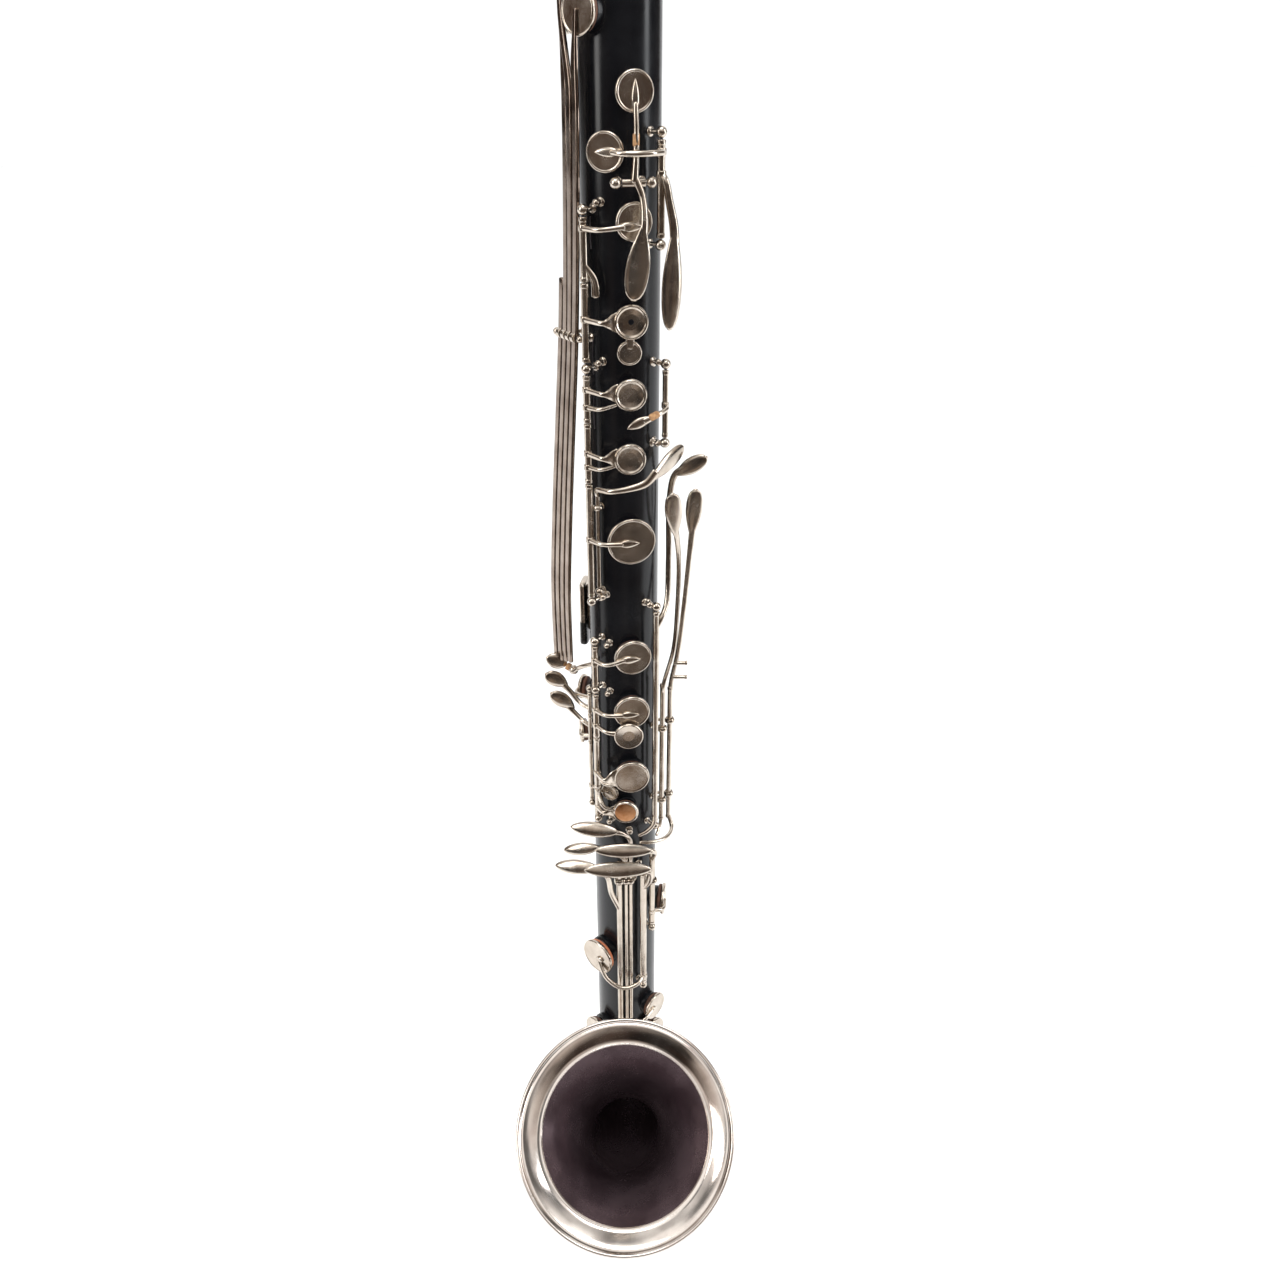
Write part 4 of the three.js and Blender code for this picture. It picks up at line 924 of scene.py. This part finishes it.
def fittings():
    rest = Shape()
    away = vec(-1, 0.15, 0)
    arc = [at(17.6, angle, 12) for angle in range(160, 226, 10)] + [vec(-17.4, 12.8, 12)]
    rest.sweep(arc, (25, 1.9), sides=28, square=6, per_span=4)
    hook = [(-19.4, 12.4, 26), (-19.4, 12.4, 4)]
    rest.sweep(hook, [(12.6, 3.6)] * 2, face=away, sides=32, square=4)
    end = [(-19.4, 12.3, 6), (-19.5, 12.2, -5.4)]
    rest.sweep(end, [(13.0, 4.2), (11.6, 4.4)], face=away, sides=32, square=3.2, material="rubber")
    screw = eased([(0, 18.4), (2.4, 18.4), (2.4, 19.0), (1.6, 19.6), (0, 19.7)], 0.2)
    for height in (3, 21):
        rest.turned(vec(0, 0, height), outward(176), screw, 28)
    rides_on_root(rest.made("thumb_hook"), "key_metal", "thumb_rest")

    eye = Shape()
    turn = np.linspace(0, 2 * math.pi, 20, endpoint=False)
    wire = [(4.6 + 1.1 * math.cos(a), 1.1 * math.sin(a)) for a in turn]
    eye.turned(STRAP_EYE, vec(1, 0, 0), wire, 56, "nickel", True)
    base = [(0, 16.6), (4.8, 16.6), (4.8, 17.2), (4.2, 18.4), (2.4, 19.0), (1.9, 19.8), (0, 19.8)]
    eye.turned(vec(0, 0, STRAP_EYE[2]), outward(180), eased(base, 0.3), 40)
    rides_on_root(eye.made("strap_loop"), "key_metal", "strap_ring")


# ---- bent pieces
def bent_line(start, heading, sideways, straight, arc_radius, turn_degrees):
    """A centre line that starts straight, turns through an arc and ends straight."""
    whole = math.radians(turn_degrees)
    arc = arc_radius * whole

    def line(distance):
        turned = min(max((distance - straight) / arc, 0), 1) * whole
        direction = heading * math.cos(turned) + sideways * math.sin(turned)
        point = start + heading * (min(distance, straight) + arc_radius * math.sin(turned))
        point = point + sideways * arc_radius * (1 - math.cos(turned))
        return point + direction * max(distance - straight - arc, 0), direction

    return line


def bent_point(line, along, x, z):
    point, direction = line(along)
    return point + vec(x, 0, 0) + np.cross(vec(1, 0, 0), direction) * z


def bent_rings(line, profile, sides):
    """Rings of points for (along, radius) pairs round a bent centre line."""
    turn = np.linspace(0, 2 * math.pi, sides, endpoint=False)
    return [[bent_point(line, s, r * math.cos(a), r * math.sin(a)) for a in turn] for s, r in profile]


def fine(profile, step):
    """A profile with points added so that it can follow a bend."""
    out = [vec(*profile[0])]
    for a, b in zip(profile, profile[1:]):
        a, b = vec(*a), vec(*b)
        count = max(1, math.ceil(np.linalg.norm(b - a) / step))
        out += [mix(a, b, k / count) for k in range(1, count + 1)]
    return out


# ---- bell
BELL_DROP, BELL_ARC_RADIUS, BELL_TURN = 13.5, 28, 143
BELL_FLARE, MOUTH_R, BELL_WALL = 57, 58.8, 1.1
BEAD_R = 1.05


def bell():
    start = vec(0, 0, BODY_BOTTOM - GAP)
    line = bent_line(start, -UP, vec(0, -1, 0), BELL_DROP, BELL_ARC_RADIUS, BELL_TURN)
    bow_end = BELL_DROP + BELL_ARC_RADIUS * math.radians(BELL_TURN)
    mouth = bow_end + BELL_FLARE
    crease = 0.785 * MOUTH_R
    lip_start = mouth - 6.7
    wide = 20.8
    collar = [(0, TENON_RADIUS + GAP), (0, 17.6), (0.9, 18.4), (2.0, 17.5), (5.2, 17.5), (6.2, 18.3)]
    collar = eased(collar + [(7.2, 16.3)], 0.4)
    skin = [(BELL_DROP + (bow_end - BELL_DROP) * s, 16.2 + 4.6 * s) for s in np.linspace(0, 1, 28)]
    for s in np.linspace(0, 1, 22)[1:]:
        skin.append((bow_end + (lip_start - bow_end) * s, wide + (crease - wide) * (0.35 * s + 0.65 * s**3)))
    lip = [(4.6, 51.0), (2.9, 55.6), (1.9, 57.8)]
    for a in np.linspace(-1.4, 2.6, 12):
        lip.append((1.7 - BEAD_R * math.sin(a), MOUTH_R - 1.0 + BEAD_R * math.cos(a)))
    lip += [
        (1.6, MOUTH_R - 2.4), (1.3, MOUTH_R - 3.2), (1.5, MOUTH_R - 4.2), (2.3, 52.6), (3.3, 50.2),
        (4.5, 48.2), (5.4, crease + 0.2), (5.3, crease - 0.6), (5.9, crease - 1.2),
    ]
    bright = collar + skin + [(mouth - back, r) for back, r in lip]
    inner = [(s + 0.4, r - BELL_WALL) for s, r in reversed(skin)]
    socket = [(TENON_LENGTH + 1, 15.1), (TENON_LENGTH + 1, TENON_RADIUS + GAP)]
    # The inside of the bell and its socket get the darker inside colours: painted shade and dark reflection.
    shaded_inside = inner[1:] + socket
    names = ["bell"] * (len(bright) - 1) + ["bell_inside"] * (len(shaded_inside) + 1)
    shape = Shape().rings(bent_rings(line, bright + shaded_inside, 112), names, True)
    rides_on_root(shape.made("bell_with_bow"), "bell_metal", "bell", "bell_bow", "bell_bow_rear")


# ---- neck and mouthpiece
NECK_RISE, NECK_ARC_RADIUS, NECK_TURN, NECK_END = 34, 62, 62, 30
TABLE = -11.2  # height of the mouthpiece's flat side from its centre line


def neck(line, cork_start, end):
    foot = [(-12, 8.6), (-0.1, 8.6), (0, 14.0), (0.6, 14.6), (2, 14.6), (2.8, 13.9), (7, 13.9), (7.8, 14.6)]
    profile = foot + [(9, 14.6), (10, 13.2)]
    for s in np.linspace(0, 1, 40):
        profile.append((mix(NECK_RISE, cork_start - 8, s), mix(13.2, 8.8, s**0.7)))
    socket = ((6.4, 9.9), (5.8, 10.6), (1.0, 10.6), (0.4, 10.2), (GAP, 7.9))
    profile += [(cork_start - back, r) for back, r in socket] + [(end, 7.9), (end, 7)]
    profile += [(s, 7) for s in np.linspace(end - 1, -12, 50)]
    shape = Shape().rings(bent_rings(line, profile, 64), "nickel", True)
    rides_on_root(shape.made("neck_crook"), "key_metal", "neck")

    outside = [(cork_start, 8.2), (cork_start, 9.4), (cork_start + 0.3, 9.6), (end - 1.4, 9.6)]
    outside += [(end - 1, 9.2), (end - 1, 8.2)]
    sleeve = fine(outside, 2) + fine([(end - 1, 8.2), (cork_start, 8.2)], 2)[1:-1]
    shape = Shape().rings(bent_rings(line, sleeve, 56), "cork", True)
    rides_on_root(shape.made("neck_cork_sleeve"), "cork", "neck_cork")


def mouthpiece(line, shank, tip):
    facing = shank + 42  # where the slope towards the tip begins
    outer = [(shank, 13.6), (shank + 0.6, 14.3), (shank + 2, 15), (shank + 30, 15), (facing, 14.4), (tip, 9)]
    turn = np.linspace(0, 2 * math.pi, 80, endpoint=False)
    rings = []
    for s, r in fine(outer, 2):
        low = TABLE if s > shank + 16 else -40
        high = 13.4 - (s - facing) * 22 / 46 if s > facing else 40
        heights = np.clip(r * np.sin(turn), low, high)
        rings.append([bent_point(line, s, r * math.cos(a), z) for a, z in zip(turn, heights)])
    shape = Shape().rings(rings, "rubber")
    rides_on_root(shape.made("mouthpiece_shell"), "black_rubber", "mouthpiece")


def reed(line, heel, tip):
    rings = []
    across = np.linspace(-1, 1, 17)
    for s in np.linspace(heel, tip, 44):
        half = mix(5.7, 6.4, (s - heel) / (tip - heel))
        deep = np.interp(s, [heel, heel + 32, tip], [2.6, 2.3, 0.4])
        top = [bent_point(line, s, half * q, TABLE - GAP) for q in across]
        for q in across[::-1]:
            bulge = deep * (0.35 + 0.65 * math.sqrt(1 - q * q * 0.98))
            top.append(bent_point(line, s, half * q, TABLE - GAP - bulge))
        rings.append(top)
    rides_on_root(Shape().rings(rings, "cane").made("cane_reed"), "cane", "reed")


def ligature(line, start, end):
    half = [(0, 15.3), (0, 16.0), (0.4, 16.4), (1.4, 16.4), (1.8, 16.0)]
    band = [(start + s, r) for s, r in half] + [(end - s, r) for s, r in half[::-1]]
    shape = Shape().rings(bent_rings(line, fine(band, 3), 72), "nickel", True)
    screw = [(0, 0), (1.0, 0), (1.0, 12), (2.6, 12), (3.4, 12.5), (3.4, 13.8), (2.8, 14.2), (0, 14.2)]
    for along in (start + 5, end - 5):
        for x in (-3.1, 3.1):
            lug = [bent_point(line, along, x, z) for z in (-15.4, -20.4)]
            shape.sweep(lug, [(3.0, 5.4)] * 2, face=line(along)[1], square=3.4)
        shape.turned(bent_point(line, along, -5.6, -18), vec(1, 0, 0), eased(screw, 0.25), 28)
    rides_on_root(shape.made("ligature_band"), "key_metal", "ligature")


def neck_and_mouthpiece():
    start = vec(0, 0, BODY_TOP + GAP)
    line = bent_line(start, UP, vec(0, 1, 0), NECK_RISE, NECK_ARC_RADIUS, NECK_TURN)
    end = NECK_RISE + NECK_ARC_RADIUS * math.radians(NECK_TURN) + NECK_END
    cork_start = end - 21
    shank = cork_start + 1
    tip = shank + 88
    neck(line, cork_start, end)
    mouthpiece(line, shank, tip)
    reed(line, shank + 18, tip - 1)
    ligature(line, shank + 8, shank + 30)


# ---- body
def body_tube():
    tenon_end = BODY_BOTTOM - TENON_LENGTH
    outside = [
        (BORE_RADIUS, BODY_TOP), (BODY_RADIUS - 0.4, BODY_TOP), (BODY_RADIUS, BODY_TOP - 0.5),
        (BODY_RADIUS, BODY_BOTTOM + 0.4), (BODY_RADIUS - 0.4, BODY_BOTTOM), (TENON_RADIUS, BODY_BOTTOM),
        (TENON_RADIUS, tenon_end + 0.5), (TENON_RADIUS - 0.5, tenon_end), (BORE_RADIUS, tenon_end),
    ]
    body.turned(vec(0, 0, 0), UP, outside, 96, "black", True)
    rides_on_root(body.made("black_tube"), "black_body", "body")
    rides_on_root(posts.made("posts_and_rods"), "key_metal")
    rides_on_root(springs.made("needle_springs"), "key_metal")


throat_a()
throat_g_sharp()
left_stack()
little_finger_levers()
side_levers()
right_stack()
side_keys()
low_keys()
thumb_keys()
fittings()
bell()
neck_and_mouthpiece()
body_tube()


# ---- floor, light and camera
FLOOR = -0.392
FLOOR_FRONT = -0.34  # in front of this edge metal reflects the dark room
WALL = 6.9
WHITE = ((0.93, 0.93, 0.935), (0.95, 0.95, 0.95))
CENTRE = (0, 0, -0.05)


def sheet_of(name, corners):
    mesh = bpy.data.meshes.new(name)
    mesh.from_pydata(corners, [], [(0, 1, 2, 3)])
    mesh.materials.append(finish_material(f"{name}_paper", WHITE, (0.8, 0.95), 0.0, 3, 60, 0.02))
    obj = bpy.data.objects.new(name, mesh)
    bpy.context.scene.collection.objects.link(obj)


def light(name, place, size, power, colour=(1, 1, 1)):
    lamp = bpy.data.lights.new(name, "AREA")
    lamp.shape = "RECTANGLE"
    lamp.size, lamp.size_y = size
    lamp.energy = power
    lamp.color = colour
    obj = bpy.data.objects.new(name, lamp)
    obj.location = place
    obj.rotation_euler = (Vector(CENTRE) - Vector(place)).to_track_quat("-Z", "Y").to_euler()
    bpy.context.scene.collection.objects.link(obj)


sheet_of("floor", [(-6, FLOOR_FRONT, FLOOR), (6, FLOOR_FRONT, FLOOR), (6, 7, FLOOR), (-6, 7, FLOOR)])
sheet_of("backdrop", [(-6, WALL, FLOOR), (6, WALL, FLOOR), (6, WALL, 6), (-6, WALL, 6)])
light("left_window", (-1.5, -0.9, 0.7), (0.45, 1.5), 13, (1.0, 0.985, 0.96))
light("right_window", (1.5, -0.3, 0.5), (0.35, 1.5), 10, (0.95, 0.975, 1.0))
light("overhead", (0.1, -0.5, 1.7), (0.9, 0.5), 9)


# The room seen in reflections, from straight down to straight up.
ROOM = (
    (0.0, (0.20, 0.155, 0.125)),
    (0.28, (0.26, 0.21, 0.175)),
    (0.44, (0.06, 0.038, 0.026)),
    (0.58, (0.05, 0.034, 0.026)),
    (0.70, (0.42, 0.37, 0.33)),
    (0.86, (0.85, 0.84, 0.82)),
)


def surroundings():
    """White to the camera and to matt surfaces. In reflections, a warm dark room under a pale ceiling."""
    world = bpy.data.worlds.new("studio")
    world.use_nodes = True
    bpy.context.scene.world = world
    nodes, link = world.node_tree.nodes, world.node_tree.links.new
    room = nodes["Background"]
    place = nodes.new("ShaderNodeTexCoord")
    parts = nodes.new("ShaderNodeSeparateXYZ")
    link(place.outputs["Generated"], parts.inputs[0])
    span = node(nodes, "ShaderNodeMapRange", From_Min=-1)
    link(parts.outputs["Z"], span.inputs["Value"])
    ramp = colour_ramp(nodes, ROOM)
    link(span.outputs[0], ramp.inputs["Fac"])
    link(ramp.outputs["Color"], room.inputs["Color"])
    things = node(nodes, "ShaderNodeTexNoise", Scale=2.3, Detail=2.5, Roughness=0.45)
    link(place.outputs["Generated"], things.inputs["Vector"])
    contrast = node(nodes, "ShaderNodeMapRange", From_Min=0.42, From_Max=0.60, To_Min=0.22, To_Max=1.7)
    link(things.outputs["Fac"], contrast.inputs["Value"])
    link(contrast.outputs[0], room.inputs["Strength"])
    white = node(nodes, "ShaderNodeBackground", Color=(1.0, 1.0, 1.0, 1), Strength=1.18)
    path = nodes.new("ShaderNodeLightPath")
    both = nodes.new("ShaderNodeMixShader")
    link(path.outputs["Is Glossy Ray"], both.inputs[0])
    link(white.outputs[0], both.inputs[1])
    link(room.outputs[0], both.inputs[2])
    link(both.outputs[0], nodes["World Output"].inputs["Surface"])


surroundings()
bpy.context.scene.view_settings.view_transform = "Standard"

CAMERA_PLACE = (0.0080, -0.49438, 0.20272)
CAMERA_PITCH = 61.727  # degrees up from straight down
LENS = 30.375
lens = bpy.data.cameras.new("photo_view")
lens.lens = LENS
lens.sensor_width = 36
lens.clip_start = 0.01
camera = bpy.data.objects.new("photo_view", lens)
camera.location = CAMERA_PLACE
camera.rotation_euler = (math.radians(CAMERA_PITCH), 0, 0)
bpy.context.scene.collection.objects.link(camera)
bpy.context.scene.camera = camera
